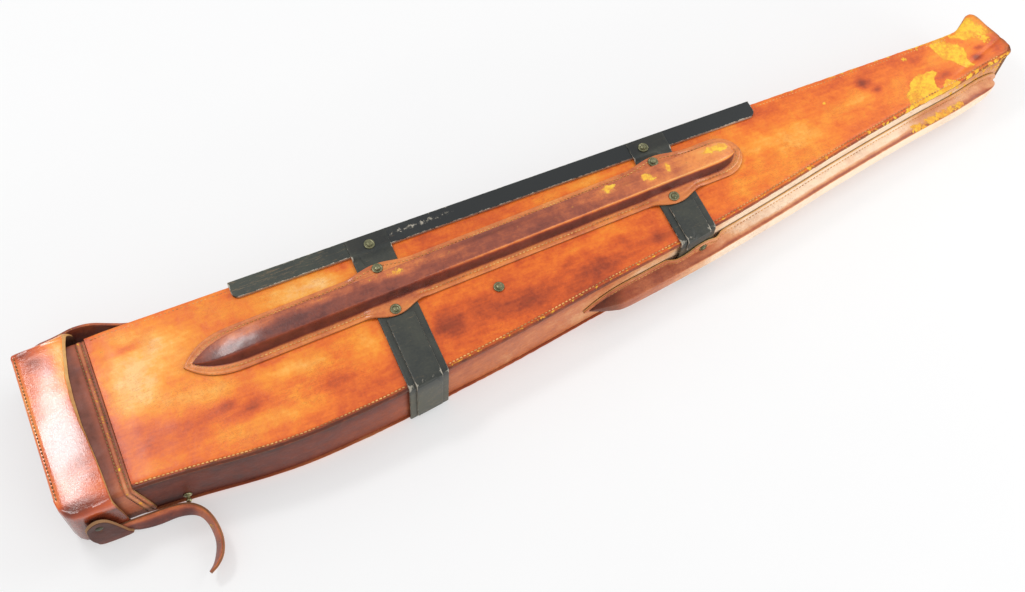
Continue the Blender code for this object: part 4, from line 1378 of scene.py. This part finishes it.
def end_share(rib, x, start, end):
    """1 along a rib, falling to 0 as a pointed arch at its left end and as an ellipse at its right."""
    left = clamp((x - start) / rib["arch"])
    right = clamp((end - x) / rib["round"])
    return min(1.0 - (1.0 - left) ** rib["point"], math.sqrt(max(0.0, 1.0 - (1.0 - right) ** 2)))


def ridge_shape(share):
    """Height of the ridge at a share of its half-width: a slightly domed top and steep sides."""
    top = 1.0 - 0.07 * share**2
    side = (1.0 - abs(share)) / 0.27
    near = max(0.0, 0.16 - abs(top - side)) / 0.16
    return max(0.0, min(top, side) - 0.04 * near**2)


RIDGE_SHARES = [1.0, 0.985, 0.96, 0.92, 0.87, 0.82, 0.785, 0.765, 0.75, 0.735, 0.715, 0.69, 0.62, 0.45, 0.2]


def both_sides(values):
    return [-v for v in values] + [0.0] + list(values)[::-1]


def rib_half_widths(rib, x):
    margin = rib["margin"]
    at_end = end_share(rib, x, rib["start"], rib["end"])
    ridge_end = end_share(rib, x, rib["start"] + margin, rib["end"] - margin)
    half = rib["flange"] * at_end
    climb = 0.4 + 0.6 * clamp((x - rib["start"]) / rib["climb"])
    return half, max(0.6, min(rib["ridge"] * ridge_end, half - 3.0)), climb * ridge_end**0.7


def rib_rows(rib, x, lift, lobes, seed):
    """Outer and inner line of the cover at one place: lists of (across, height)."""
    half, ridge, ridge_end = rib_half_widths(rib, x)
    foot = GAP + lift
    flange = FLANGE_TOP + lift
    top = flange + (rib["height"] - flange) * ridge_end
    inner_top = max(foot + 0.05, top - COVER_T - 0.3)
    inner_ridge = max(0.4, ridge - COVER_T)
    outer, inner = [], []
    low, high = (half + lobe for lobe in lobes)
    for side, reach in ((-1, low), (1, high)):
        strip = []
        width = max(reach - ridge, 0.5)
        for part in (0.0, 0.04, 0.1, 0.2, 0.32, 0.42, 0.5, 0.58, 0.7, 0.85):
            across = reach - width * part
            sunk = drop(width * part, 1.3) + groove(width * part - 5.3, 0.9, 0.5)
            strip.append((side * across, max(flange - sunk, foot + 0.4)))
        under = [(side * (reach - width * part), foot) for part in (0.0, 0.04, 0.1, 0.2, 0.32, 0.42, 0.5, 0.58, 0.7, 0.85)]
        if side < 0:
            outer += strip
            inner += under
            for v in both_sides(RIDGE_SHARES):
                waves = 0.3 * ripple(x, v * 20, 14.0, seed) * (1 - abs(v)) + 0.3 * ripple(x, v * 9, 45.0, seed)
                rise = (top - flange) * ridge_shape(v)
                outer.append((v * ridge, flange + rise + waves * clamp(rise / 5.0)))
                inner.append((v * inner_ridge, foot + (inner_top - foot) * ridge_shape(v)))
        else:
            outer += strip[::-1]
            inner += under[::-1]
    return outer, inner


def rib_stations(rib, marks):
    turns = [1 - math.cos(math.radians(angle)) for angle in range(4, 90, 6)]
    places = [rib["end"] - rib["round"] * t for t in turns]
    places += [rib["end"] - rib["margin"] - rib["round"] * t for t in turns]
    places += [rib["start"] + rib["arch"] * (k / 24) ** 1.7 for k in range(1, 25)]
    places += [rib["start"] + rib["margin"] + rib["arch"] * (k / 20) ** 1.7 for k in range(20)]
    places += steps(rib["start"] + rib["arch"], rib["end"] - rib["round"], 6.0)
    for mark in marks:
        places += steps(mark - 36.0, mark + 36.0, 2.5)
    kept = []
    for x in sorted(places):
        if rib["start"] + 0.05 <= x <= rib["end"] - 0.05 and (not kept or x - kept[-1] > 0.35):
            kept.append(x)
    return kept


def add_rib(name, rib, marks, place, lift_at, lobes_at, finish, node, paint, seed):
    outer, inner = [], []
    for x in rib_stations(rib, marks):
        top, under = rib_rows(rib, x, lift_at(x), lobes_at(x), seed)
        outer.append([place(x, across, height) for across, height in top])
        inner.append([place(x, across, height) for across, height in under])
    solid, _, _ = shell(outer, inner)
    face, cut = (finish["rib"], finish["dark_cut"]) if rib is FRONT_RIB else (finish["pale_rib"], finish["cut"])
    add_piece(name, solid, (face, finish["flesh"], cut), "case", (node,), paint, sharp=55.0)
    outer, inner = [], []
    for x in steps(rib["start"] + rib["margin"] + 5.0, rib["end"] - rib["margin"] - 5.0, 6.0):
        _, under = rib_rows(rib, x, lift_at(x), lobes_at(x), seed)
        ridge = [(across * 0.94, height) for across, height in under[10:-10]]
        foot = ridge[0][1]
        outer.append([place(x, across, foot + (height - foot) * 0.94) for across, height in ridge])
        inner.append([place(x, across, foot - 0.2) for across, height in ridge])
    solid, _, _ = shell(outer, inner)
    core = node.replace("cover", "core")
    add_piece("felt_" + core, solid, (finish["felt"],), "case", (core,), None)


def front_line_y(x):
    share = (x - FRONT_RIB["start"]) / (FRONT_RIB["end"] - FRONT_RIB["start"])
    return FRONT_RIB_Y[0] + share * (FRONT_RIB_Y[1] - FRONT_RIB_Y[0])


def on_front(x, across, height):
    """A place on the front panel, across the front rib's own line."""
    slope = (FRONT_RIB_Y[1] - FRONT_RIB_Y[0]) / (FRONT_RIB["end"] - FRONT_RIB["start"])
    length = math.hypot(1.0, slope)
    y = front_line_y(x)
    return (x - across * slope / length, y + across / length, FRONT_Z + height)


def on_bottom(x, across, height):
    """A place on the bottom gusset across the bottom rib's own line."""
    return on_gusset(x, BOTTOM_RIB_Z + across, height + GAP)


def front_lift(x):
    return (HOOP_T + GAP) * max(ramp(x, x0 - 2, x0 + HOOP_WIDTH + 2, 16) for x0 in HOOP_X.values())


def front_lobes(x):
    reach = max(ramp(x, x0 + 19, x0 + 22, LOBE_HALF_LENGTH) for x0 in HOOP_X.values())
    return (LOBE_REACH * reach, LOBE_UPPER_REACH * reach)


def bottom_lift(x):
    x0 = HOOP_X["right"]
    return (OVERHANG + HOOP_T + 2 * GAP) * ramp(x, x0 - 2, x0 + HOOP_WIDTH + 2, 16)


def bottom_lobes(x):
    x0 = HOOP_X["right"]
    return (0.0, 7.5 * ramp(x, x0 + 28, x0 + 33, 24))


FRONT_RIB_SPOTS = [
    (190, -76, 16, 6, 0.02, 0.1, 0),
    (310, -62, 44, 5, 0.3, 0.0, 0.3),
    (390, -58, 40, 5, 0.3, 0.0, 0.34),
    (404, -64, 20, 3, 0.2, 0.0, 0.3),
    (470, -60, 50, 7, 0.12, 0.1, 0.2),
    (560, -58, 50, 6, 0.08, 0.12, 0.16),
    (620, -56, 30, 6, 0.1, 0.1, 0.2),
    (662, -50, 9, 3, 0.2, 0.0, 0.4),
    (662, -55, 10, 5, 0.2, 0.0, 0.55),
    (680, -55, 5, 6, 0.1, 0.1, 0.4),
    (706, -54, 7, 4.5, 0.2, 0.0, 0.75),
    (520, -56, 60, 3, -0.1, 0.3, 0.0),
    (712, -60, 7, 3, 0.2, 0.0, 0.6),
    (735, -53, 3.5, 7, 0.2, 0.0, 0.7),
    (690, -52, 30, 5, -0.1, 0.25, 0.0),
    (790, -50, 14, 6, 0.2, 0.0, 0.7),
    (806, -50, 8, 6, 0.2, 0.0, 0.8),
    (760, -52, 26, 6, 0.05, 0.12, 0.1),
]


def front_rib_base(x, y):
    return 0.0, 0.0, 0.0


front_rib_spots = painted(front_rib_base, FRONT_RIB_SPOTS)


def front_rib_paint(x, y, z):
    across = y - front_line_y(x)
    half, ridge, _ = rib_half_widths(FRONT_RIB, clamp(x, 160.2, 831.8))
    share = across / ridge
    flange = 1.0 if ridge < 0.7 else ease(0.97, 1.03, abs(share))
    high = ease(0.84, 0.72, abs(share)) * (1.0 - flange)
    tone, grime_and_shade, worn = front_rib_spots(x, y)
    # The crest lightens toward the right end: worn patches together with a painted sheen.
    crest = 0.28 + 0.14 * ease(260.0, 420.0, x) + 0.36 * ease(600.0, 780.0, x)
    # Painted highlight: a lilac sheen on the crest's upper half near the left end.
    crest += 0.4 * math.exp(-(((x - 226.0) / 44.0) ** 2)) * ease(-0.3, 0.3, share)
    side = 0.16 if across < 0 else 0.44
    level = side + (crest + tone - side) * high
    # Painted highlight: a pink line along the crest's lower corner.
    painted_corner_highlight = math.exp(-(((share + 0.76) / 0.045) ** 2))
    level += 0.36 * painted_corner_highlight * ease(400.0, 520.0, x) + 0.12 * painted_corner_highlight
    level += (0.74 - level) * flange
    rim = math.exp(-max(abs(half) - abs(across), 0.0) / 1.2)
    # Painted shade in the crease at the ridge's foot.
    foot = math.exp(-(((abs(across) - ridge - 0.3) / 1.2) ** 2))
    sewn = math.exp(-(((half - 5.3 - abs(across)) / 1.0) ** 2)) * flange
    grime_and_shade = grime_and_shade * high + 0.3 * rim * flange + 0.4 * foot + 0.3 * sewn
    return level, grime_and_shade, worn * high + 0.1


def bottom_rib_paint(x, y, z):
    across = z - BOTTOM_RIB_Z
    _, ridge, _ = rib_half_widths(BOTTOM_RIB, clamp(x, 586.2, 1207.8))
    share = across / ridge
    flange = 1.0 if ridge < 0.7 else ease(0.97, 1.05, abs(share))
    top = ease(0.8, 0.68, abs(share)) * (1.0 - flange)
    # The rib pales toward the muzzle like the gusset beside it: worn leather together with painted glare.
    right = ease(690.0, 860.0, x)
    fade = ease(1030.0, 1080.0, x)
    upper = 0.48 + 0.54 * right - 0.26 * fade
    level = upper + (0.5 + 0.66 * ease(660.0, 820.0, x) - upper) * top
    if share < -0.7:
        level = 0.44 + 0.36 * right
    level += (0.6 + 0.44 * right - 0.3 * fade - level) * flange
    crease = math.exp(-(((share - 0.78) / 0.05) ** 2)) * ease(640.0, 760.0, x)
    level -= (level - 0.46) * crease
    # Painted shade in the crease at the ridge's foot.
    foot = math.exp(-(((abs(across) - ridge - 0.4) / 1.2) ** 2))
    tip = ease(650.0, 606.0, x) * (1.0 - flange)
    worn = 0.1 + 0.62 * ease(1046.0, 1062.0, x) * ease(1150.0, 1136.0, x) * math.exp(-(((share - 0.82) / 0.12) ** 2))
    return level, 0.2 * foot + 0.9 * tip, worn


def add_ribs(finish):
    marks = [x0 + HOOP_WIDTH / 2 for x0 in HOOP_X.values()]
    add_rib("front_rib", FRONT_RIB, marks, on_front, front_lift, front_lobes, finish, "front_rib_cover", front_rib_paint, 21.0)
    add_rib("bottom_rib", BOTTOM_RIB, marks[1:], on_bottom, bottom_lift, bottom_lobes, finish, "bottom_rib_cover", bottom_rib_paint, 23.0)


# ---------------------------------------------------------------- steel


def add_rail(finish):
    top = FRONT_Z + GAP + RAIL_T
    turns = [math.radians(10 * k) for k in range(10)]
    ends = [(RAIL_CORNER * (1 - math.cos(t)), RAIL_CORNER * (1 - math.sin(t))) for t in turns]
    stations = [(RAIL_X0 + run, cut) for run, cut in ends]
    stations += [(x, 0.0) for x in steps(RAIL_X0 + RAIL_CORNER, RAIL_X1 - RAIL_CORNER, 5.0)[1:-1]]
    stations += [(RAIL_X1 - run, cut) for run, cut in reversed(ends)]
    back = GAP + RAIL_T
    outer, inner = [], []
    for x, cut in stations:
        from_end = min(x - RAIL_X0, RAIL_X1 - x)
        front = RAIL_BOTTOM + cut
        low = top - RAIL_LEG + cut
        rows = [], []
        for d in (0.0, 0.3, 0.8, 1.6, 3.0, 6.0, 9.0, 12.0, 15.0, 18.0, 19.5):
            y = front + (back - 1.5 - front) * d / 19.5
            sink = drop(d, 0.8) + 0.6 * drop(from_end, 0.8) + 0.05 * ripple(x, y, 30.0, 24.0)
            rows[0].append((x, y, top - sink))
            rows[1].append((x, min(y, GAP), top - RAIL_T))
        for angle in (18, 36, 54, 72, 90):
            turn = math.radians(angle)
            rows[0].append((x, back - 1.5 + 1.5 * math.sin(turn), top - 1.5 + 1.5 * math.cos(turn)))
            rows[1].append((x, GAP, top - RAIL_T))
        for d in (0.15, 0.3, 0.45, 0.6, 0.75, 0.88, 0.95, 0.98, 1.0):
            z = top - 1.5 + (low - top + 1.5) * d
            sink = drop((1 - d) * (RAIL_LEG - 1.5), 0.8)
            rows[0].append((x, back - sink, z))
            rows[1].append((x, GAP, min(z, top - RAIL_T)))
        outer.append(rows[0])
        inner.append(rows[1])
    solid, _, _ = shell(outer, inner)

    def paint(x, y, z):
        ends = min(x - RAIL_X0, RAIL_X1 - x)
        edge = min(ends, y - RAIL_BOTTOM, max(back - y, top - z))
        worn = 0.1 + 0.66 * math.exp(-max(edge, 0.0) / 1.8)
        worn += 0.52 * math.exp(-(((x - 450.0) / 75.0) ** 2)) * math.exp(-(((y + 6.0) / 5.0) ** 2))
        worn += 0.1 * math.exp(-(((x - 300.0) / 60.0) ** 2))
        return 0.85 - 0.75 * ease(260.0, 520.0, x), 0.0, worn

    finishes = (finish["rail"],) * 3
    add_piece("steel_rail", solid, finishes, "case", ("rail",), paint, sharp=30.0)


def hoop_corners(x):
    """The hoop's inner face as (y, z) corners: over the rail, down to the panel, round the edge."""
    edge = edge_y(x) - GAP
    front = FRONT_Z + GAP
    over = FRONT_Z + GAP + RAIL_T + GAP
    back = BACK_Z - GAP
    return [(1.5, over), (RAIL_BOTTOM - 1.2, over), (RAIL_BOTTOM - 6.0, front), (edge, front), (edge, back), (-6.0, back)]


def add_hoop(side, finish):
    x0 = HOOP_X[side]
    insets = [0.0, 0.35, 0.9, 2.0]
    xs = [x0 + d for d in insets] + steps(x0 + 4.0, x0 + HOOP_WIDTH - 4.0, 5.0)
    xs += [x0 + HOOP_WIDTH - d for d in reversed(insets)]
    outer, inner = [], []
    count = len(filleted(hoop_corners(x0), 2.2, 5.0))
    for x in xs:
        line = filleted(hoop_corners(x), 2.2, 5.0)
        if len(line) != count:
            line = even(line, count)
        line = [tuple(p) for p in line]
        sunk = drop(min(x - x0, x0 + HOOP_WIDTH - x), 0.9)
        row = []
        for (y, z), (y1, z1) in zip(line, offset_line(line, -(HOOP_T - sunk))):
            thin = 1.0 - 0.55 * ease(RAIL_BOTTOM - 2.5, RAIL_BOTTOM + 2.0, y) * (z > FRONT_Z)
            row.append((x, y + (y1 - y) * thin, max(z + (z1 - z) * thin, 0.05)))
        outer.append(row)
        inner.append([(x, y, z) for y, z in line])
    solid, _, _ = shell(outer, inner)

    def paint(x, y, z):
        rim = math.exp(-min(abs(x - x0), abs(x0 + HOOP_WIDTH - x)) / 1.2)
        bend = math.exp(-((y - edge_y(x)) ** 2 + (z - FRONT_Z - 1.0) ** 2) / 20.0)
        step = math.exp(-(((y - RAIL_BOTTOM + 3.0) / 3.5) ** 2))
        raised = min(abs(x - x0 - DOUBLER_MARGIN), abs(x - x0 - HOOP_WIDTH + DOUBLER_MARGIN))
        seam = math.exp(-((raised / 1.6) ** 2)) * ease(-80.0, -90.0, y)
        over = ease(RAIL_BOTTOM - 1.0, RAIL_BOTTOM + 3.0, y) * (z > FRONT_Z)
        low = ease(70.0, 64.0, z)
        grime_and_shade = 0.25 * bend + 0.6 * seam + 0.7 * over * (1 - rim)
        return 0.45 + 0.35 * low, grime_and_shade, 0.5 * rim + 0.5 * bend + 0.36 * step + 0.08

    finishes = (finish["hoop"],) * 3
    add_piece("steel_hoop_" + side, solid, finishes, "case", ("hoop_" + side,), paint, sharp=30.0)
    shows, low = DOUBLER_SHOWS[side]
    left, right = x0 + DOUBLER_MARGIN, x0 + HOOP_WIDTH - DOUBLER_MARGIN
    lift = HOOP_T + 2 * GAP
    insets = [0.0, 0.3, 0.8, 1.6]
    xs = [left + d for d in insets] + steps(left + 4.0, right - 4.0, 4.0) + [right - d for d in reversed(insets)]
    outer, inner = [], []
    for x in xs:
        edge = edge_y(x) - GAP - lift + 0.25
        front = FRONT_Z + lift
        slant = (x - left) * 0.13 if side == "right" else 0.0
        line = filleted([(shows, front), (edge, front), (edge, low + slant)], 3.0, 5.0)
        if outer and len(line) != len(outer[0]):
            line = even(line, len(outer[0]))
        line = [tuple(p) for p in line]
        reach = 0.0
        sunk = drop(min(x - left, right - x), 0.8)
        up = offset_line(line, -(DOUBLER_T - sunk))
        outer.append([(x, y, z) for y, z in up])
        inner.append([(x, y, z) for y, z in line])
    solid, _, _ = shell(outer, inner)

    def raised_paint(x, y, z):
        rim = math.exp(-min(abs(x - left), abs(right - x)) / 0.9)
        bend = math.exp(-((y - edge_y(x)) ** 2 + (z - FRONT_Z - 2.0) ** 2) / 18.0)
        end = math.exp(-abs(z - low) / 1.5) if z < FRONT_Z - 5 else 0.0
        low_part = ease(70.0, 64.0, z)
        return 0.45 + 0.35 * low_part, 0.2 * bend, 0.66 * rim + 0.55 * bend + 0.3 * end + 0.06

    nodes = ("doubler_front_" + side, "doubler_edge_" + side)
    add_piece("raised_strap_" + side, solid, finishes, "case", nodes, raised_paint, sharp=30.0)


# ---------------------------------------------------------------- rivets and stud


def add_turned(name, place, axis, profile, finish, body, node, sides=36):
    """A turned piece: profile is (radius, height) from its foot up to the axis."""
    up = Vector(axis).normalized()
    side = up.cross(Vector((1.0, 0.0, 0.0))).normalized()
    other = up.cross(side)
    rings = []
    for radius, height in profile:
        ring = []
        for k in range(sides):
            turn = 2 * math.pi * k / sides
            spot = Vector(place) + up * height
            spot += side * radius * math.cos(turn) + other * radius * math.sin(turn)
            ring.append(tuple(spot))
        rings.append(ring)
    solid = Solid()
    numbers = solid.grid(rings, OUTER, closed=True)
    solid.fan(numbers[0], Vector(place) + up * profile[0][1], OUTER)
    solid.fan(numbers[-1], Vector(place) + up * profile[-1][1], OUTER)
    return add_piece(name, solid, (finish,), body, (node,), None, sharp=50.0)


def rivet_profile(scale=1.0):
    """A burr washer with a rolled edge, and the domed end of the rivet in its middle."""
    washer = [(0.98, 0.0), (1.0, 0.35), (0.99, 0.75), (0.95, 1.05), (0.88, 1.2), (0.78, 1.15)]
    washer += [(0.7, 0.98), (0.62, 0.95), (0.585, 1.0)]
    dome = [(0.57, 1.55), (0.53, 2.05), (0.45, 2.45), (0.32, 2.72), (0.17, 2.85), (0.04, 2.88)]
    return [(r * RIVET_R * scale, h * scale) for r, h in washer + dome]


def add_rivets(finish):
    up = (0.0, 0.0, 1.0)
    tilt = ((0.05, 0.04), (-0.04, 0.03), (0.03, -0.05), (-0.05, -0.03), (0.04, 0.0), (0.0, 0.05), (-0.03, 0.04))
    on_tab = FRONT_Z + FLANGE_TOP + HOOP_T + 2 * GAP
    on_rail = FRONT_Z + RAIL_T + 0.45 * HOOP_T + 3 * GAP
    spots = [(name, (*xy, on_tab)) for name, xy in TAB_RIVETS.items()]
    spots += [(name, (*xy, on_rail)) for name, xy in RAIL_RIVETS.items()]
    spots.append(("rivet_panel", (*PANEL_RIVET, FRONT_Z + GAP)))
    for (name, place), (tx, ty) in zip(spots, tilt):
        axis = (up[0] + tx * 0.5, up[1] + ty * 0.5, up[2])
        add_turned("brass_" + name, place, axis, rivet_profile(), finish["brass"], "case", name)
    x, z = EDGE_RIVET
    height = FLANGE_TOP + OVERHANG + HOOP_T + 3 * GAP
    place = on_bottom(x, z - BOTTOM_RIB_Z, height)
    add_turned("brass_rivet_edge", place, gusset_normal(x), rivet_profile(0.85), finish["brass"], "case", "rivet_edge")
    head = [(4.0, 0.0), (4.1, 0.4), (3.8, 0.7), (3.0, 0.95), (2.0, 1.1), (1.0, 1.2), (0.2, 1.22)]
    tab_face = TAB_Y - TAB_T + 1.0
    add_turned("brass_rivet_tab", (30.0, tab_face, 45.0), (0.0, -1.0, 0.0), head, finish["dark_brass"], "cap", "rivet_tab")
    x, z = STRAP_STUD
    base = [(4.6, 0.0), (4.7, 0.5), (4.4, 0.95), (3.8, 1.25), (3.0, 1.45), (2.2, 1.5)]
    knob = [(1.9, 0.0), (1.6, 0.9), (1.6, 1.8), (2.1, 2.6), (2.8, 3.3), (3.2, 4.2), (3.2, 5.1)]
    knob += [(2.8, 6.0), (2.1, 6.6), (1.2, 6.95), (0.3, 7.05)]
    add_turned("brass_stud_base", on_gusset(x, z, 1.5 * GAP), gusset_normal(x), base, finish["bright_brass"], "case", "stud_base")
    add_turned("brass_stud_knob", on_gusset(x, z, 1.5 + 2.5 * GAP), gusset_normal(x), knob, finish["bright_brass"], "case", "stud_knob")


# ---------------------------------------------------------------- stitches


def stitch_row(solid, line, normals, pitch, length, radius, seed=0.0):
    """Short fat stitches along a line, each half sunk in the leather and a little askew."""
    total = line_length(line)
    count = int(total / pitch)
    places = even(line, count * 2 + 1)
    outs = even(normals, count * 2 + 1)
    for k in range(count):
        start, middle, end = places[2 * k : 2 * k + 3]
        along = (end - start).normalized()
        out = outs[2 * k + 1].normalized()
        side = out.cross(along).normalized()
        askew = 0.16 * ripple(k * 3.7, seed, 1.0, 31.0)
        along = (along + side * askew).normalized()
        side = out.cross(along).normalized()
        size = length * (1.0 + 0.15 * ripple(k * 5.1, seed, 1.0, 32.0))
        rings = []
        for t, r in ((-0.5, 0.15), (-0.42, 0.7), (-0.2, 1.0), (0.2, 1.0), (0.42, 0.7), (0.5, 0.15)):
            centre = middle + along * (t * size) + out * (radius * (0.35 - 1.1 * (abs(t) * 2) ** 4))
            ring = []
            for s in range(6):
                turn = math.pi * s / 3
                ring.append(centre + (out * math.cos(turn) + side * math.sin(turn)) * (radius * r))
            rings.append(ring)
        numbers = solid.grid(rings, OUTER, closed=True)
        solid.add(tuple(numbers[0]), OUTER)
        solid.add(tuple(numbers[-1]), OUTER)


def add_stitches(finish):
    up = Vector((0.0, 0.0, 1.0))

    def flat(line):
        return [up] * len(line)

    # The bottom edge of the front panel, broken by the hoops, and the same on the back.
    for name, z, normal in (("front", FRONT_Z - 0.6, up), ("back", BACK_Z + 0.6, -up)):
        seams = Solid()
        for x0, x1 in ((78.0, 364.0), (415.0, 708.0), (760.0, 1196.0)):
            line = [Vector((x, edge_y(x) + 5.2, z)) for x in steps(x0, x1, 6.0)]
            stitch_row(seams, line, [normal] * len(line), 4.4, 3.3, 0.8, x0)
        for x0, x1 in ((78.0, 364.0), (415.0, 708.0), (760.0, 1150.0)) if name == "back" else ((80.0, 230.0), (876.0, 1150.0)):
            line = [Vector((x, -5.2, z)) for x in steps(x0, x1, 6.0)]
            stitch_row(seams, line, [normal] * len(line), 4.4, 3.1, 0.5, x0 + 5)
        add_piece("stitches_" + name, seams, (finish["thread"],), "case", sharp=180.0)

    ribs = Solid()
    inset = 5.3
    for rib, place, lift_at, lobes_at in (
        (FRONT_RIB, on_front, front_lift, front_lobes),
        (BOTTOM_RIB, on_bottom, bottom_lift, bottom_lobes),
    ):
        for sign, lobe in ((-1.0, 0), (1.0, 1)):
            runs = [([], [])]
            start, end = rib["start"] + inset, rib["end"] - inset
            places = [start + rib["arch"] * (k / 24) ** 1.7 for k in range(25)]
            places += steps(start + rib["arch"] + 3.0, end - rib["round"] + 3.0, 4.0)
            places += [end - (rib["round"] - 4.0) * (1 - math.cos(math.radians(a))) for a in range(85, -5, -5)]
            for x in places:
                reach = lobes_at(x)[lobe]
                if sign < 0 and reach > 1.0:
                    if runs[-1][0]:
                        runs.append(([], []))
                    continue
                half = rib["flange"] * end_share(rib, x, start - 0.01, end + 0.01) - inset * (x > start)
                across = sign * (max(half, 0.0) + reach)
                height = FLANGE_TOP + lift_at(x) - 0.4
                spot = Vector(place(x, across, height))
                runs[-1][0].append(spot)
                runs[-1][1].append((Vector(place(x, across, height + 1.0)) - spot).normalized())
            for line, outs in runs:
                stitch_row(ribs, line, outs, 4.5, 3.3, 0.7, sign)
    add_piece("stitches_ribs", ribs, (finish["thread"],), "case", sharp=180.0)

    collar = Solid()
    y0, y1, z0, z1 = COLLAR_BOX
    for inset in (3.6, 9.6):
        x = COLLAR_X1 - inset
        line = [Vector((x, y, z1 - 0.6)) for y in steps(y1 - 5.0, y0 + 5.0, 5.0)]
        stitch_row(collar, line, flat(line), 4.0, 2.9, 0.8, inset)
        line = []
        for z in steps(68.0, 10.0, 4.0):
            slant = (GUSSET_SLANT - 0.6) * (71.3 - z) / 63.0
            line.append(Vector((COLLAR_X1 + slant - inset, y0 + 0.5, z)))
        stitch_row(collar, line, [Vector((0.0, -1.0, 0.0))] * len(line), 4.0, 2.7, 0.55, inset)
    add_piece("stitches_collar", collar, (finish["dark_thread"],), "case", sharp=180.0)

    cap = Solid()
    line = [Vector((3.4, y, CAP_BOX[3] - 1.3)) for y in steps(4.0, -164.0, 5.0)]
    stitch_row(cap, line, flat(line), 4.2, 3.0, 0.8, 3.0)
    line = [Vector((3.4, y, CAP_BOX[2] + 0.9)) for y in steps(4.0, -164.0, 5.0)]
    stitch_row(cap, line, [-up] * len(line), 4.2, 2.8, 0.5, 4.0)
    add_piece("stitches_cap", cap, (finish["dark_thread"],), "cap", sharp=180.0)


# ---------------------------------------------------------------- scene


def add_floor():
    g = Graph("white_table")
    fine = g.noise(3.0, 4.0, 0.6)
    g.set("Base Color", g.mix(fine, (0.47, 0.472, 0.475), (0.5, 0.5, 0.5)))
    g.set("Roughness", g.span(fine, 0.3, 0.7, 0.75, 0.9))
    g.set("Specular IOR Level", 0.2)
    g.set("Emission Color", (1.0, 1.0, 1.0, 1.0))
    g.set("Emission Strength", 0.455)
    g.bump(fine, 0.0002)
    mesh = bpy.data.meshes.new("table")
    size = 6.0
    mesh.from_pydata([(-size, -size, 0), (size, -size, 0), (size, size, 0), (-size, size, 0)], [], [(0, 1, 2, 3)])
    mesh.materials.append(g.material)
    table = bpy.data.objects.new("table", mesh)
    bpy.context.scene.collection.objects.link(table)


def add_light(name, place, target, size, power, colour=(1.0, 1.0, 1.0)):
    light = bpy.data.lights.new(name, "AREA")
    light.shape = "RECTANGLE"
    light.size, light.size_y = size
    light.energy = power
    light.color = colour
    lamp = bpy.data.objects.new(name, light)
    lamp.location = place
    lamp.rotation_mode = "QUATERNION"
    lamp.rotation_quaternion = (Vector(target) - Vector(place)).to_track_quat("-Z", "Y")
    bpy.context.scene.collection.objects.link(lamp)
    return lamp


def add_lights():
    scene = bpy.context.scene
    room = bpy.data.worlds.new("studio")
    scene.world = room
    room.use_nodes = True
    back = room.node_tree.nodes["Background"]
    back.inputs["Color"].default_value = (1.0, 1.0, 1.0, 1.0)
    back.inputs["Strength"].default_value = 0.72
    add_light("softbox_left", (-0.8, 0.75, 1.59), (-0.4, 0.0, 0.0), (0.42, 0.27), 7.2)
    add_light("softbox_right", (1.5, 0.2, 1.5), (0.4, 0.0, 0.0), (0.8, 0.8), 9.0)
    add_light("front_strip", (1.0, -1.7, 0.55), (0.35, -0.1, 0.05), (1.6, 0.35), 11.0)
    scene.view_settings.view_transform = "Standard"


def add_camera():
    columns = (
        (0.91214436, -0.40677713, 0.04956921),
        (0.3381798, 0.81519043, 0.46981144),
        (-0.23157305, -0.4116543, 0.8814147),
    )
    data = bpy.data.cameras.new("camera")
    data.sensor_fit = "HORIZONTAL"
    data.sensor_width = 36.0
    data.lens = 46.54
    data.clip_start, data.clip_end = 0.05, 50.0
    camera = bpy.data.objects.new("camera", data)
    bpy.context.scene.collection.objects.link(camera)
    turn = Matrix(columns).transposed().to_4x4()
    camera.matrix_world = Matrix.Translation((-0.43144, -0.59225, 1.33999)) @ turn
    bpy.context.scene.camera = camera


def main():
    add_camera()
    finish = make_finishes()
    add_panels(finish)
    add_gussets(finish)
    add_collar(finish)
    add_cap(finish)
    add_hinge_strap(finish)
    add_closing_strap(finish)
    add_tab(finish)
    add_ribs(finish)
    add_rail(finish)
    for side in HOOP_X:
        add_hoop(side, finish)
    add_rivets(finish)
    add_stitches(finish)
    add_floor()
    add_lights()


main()
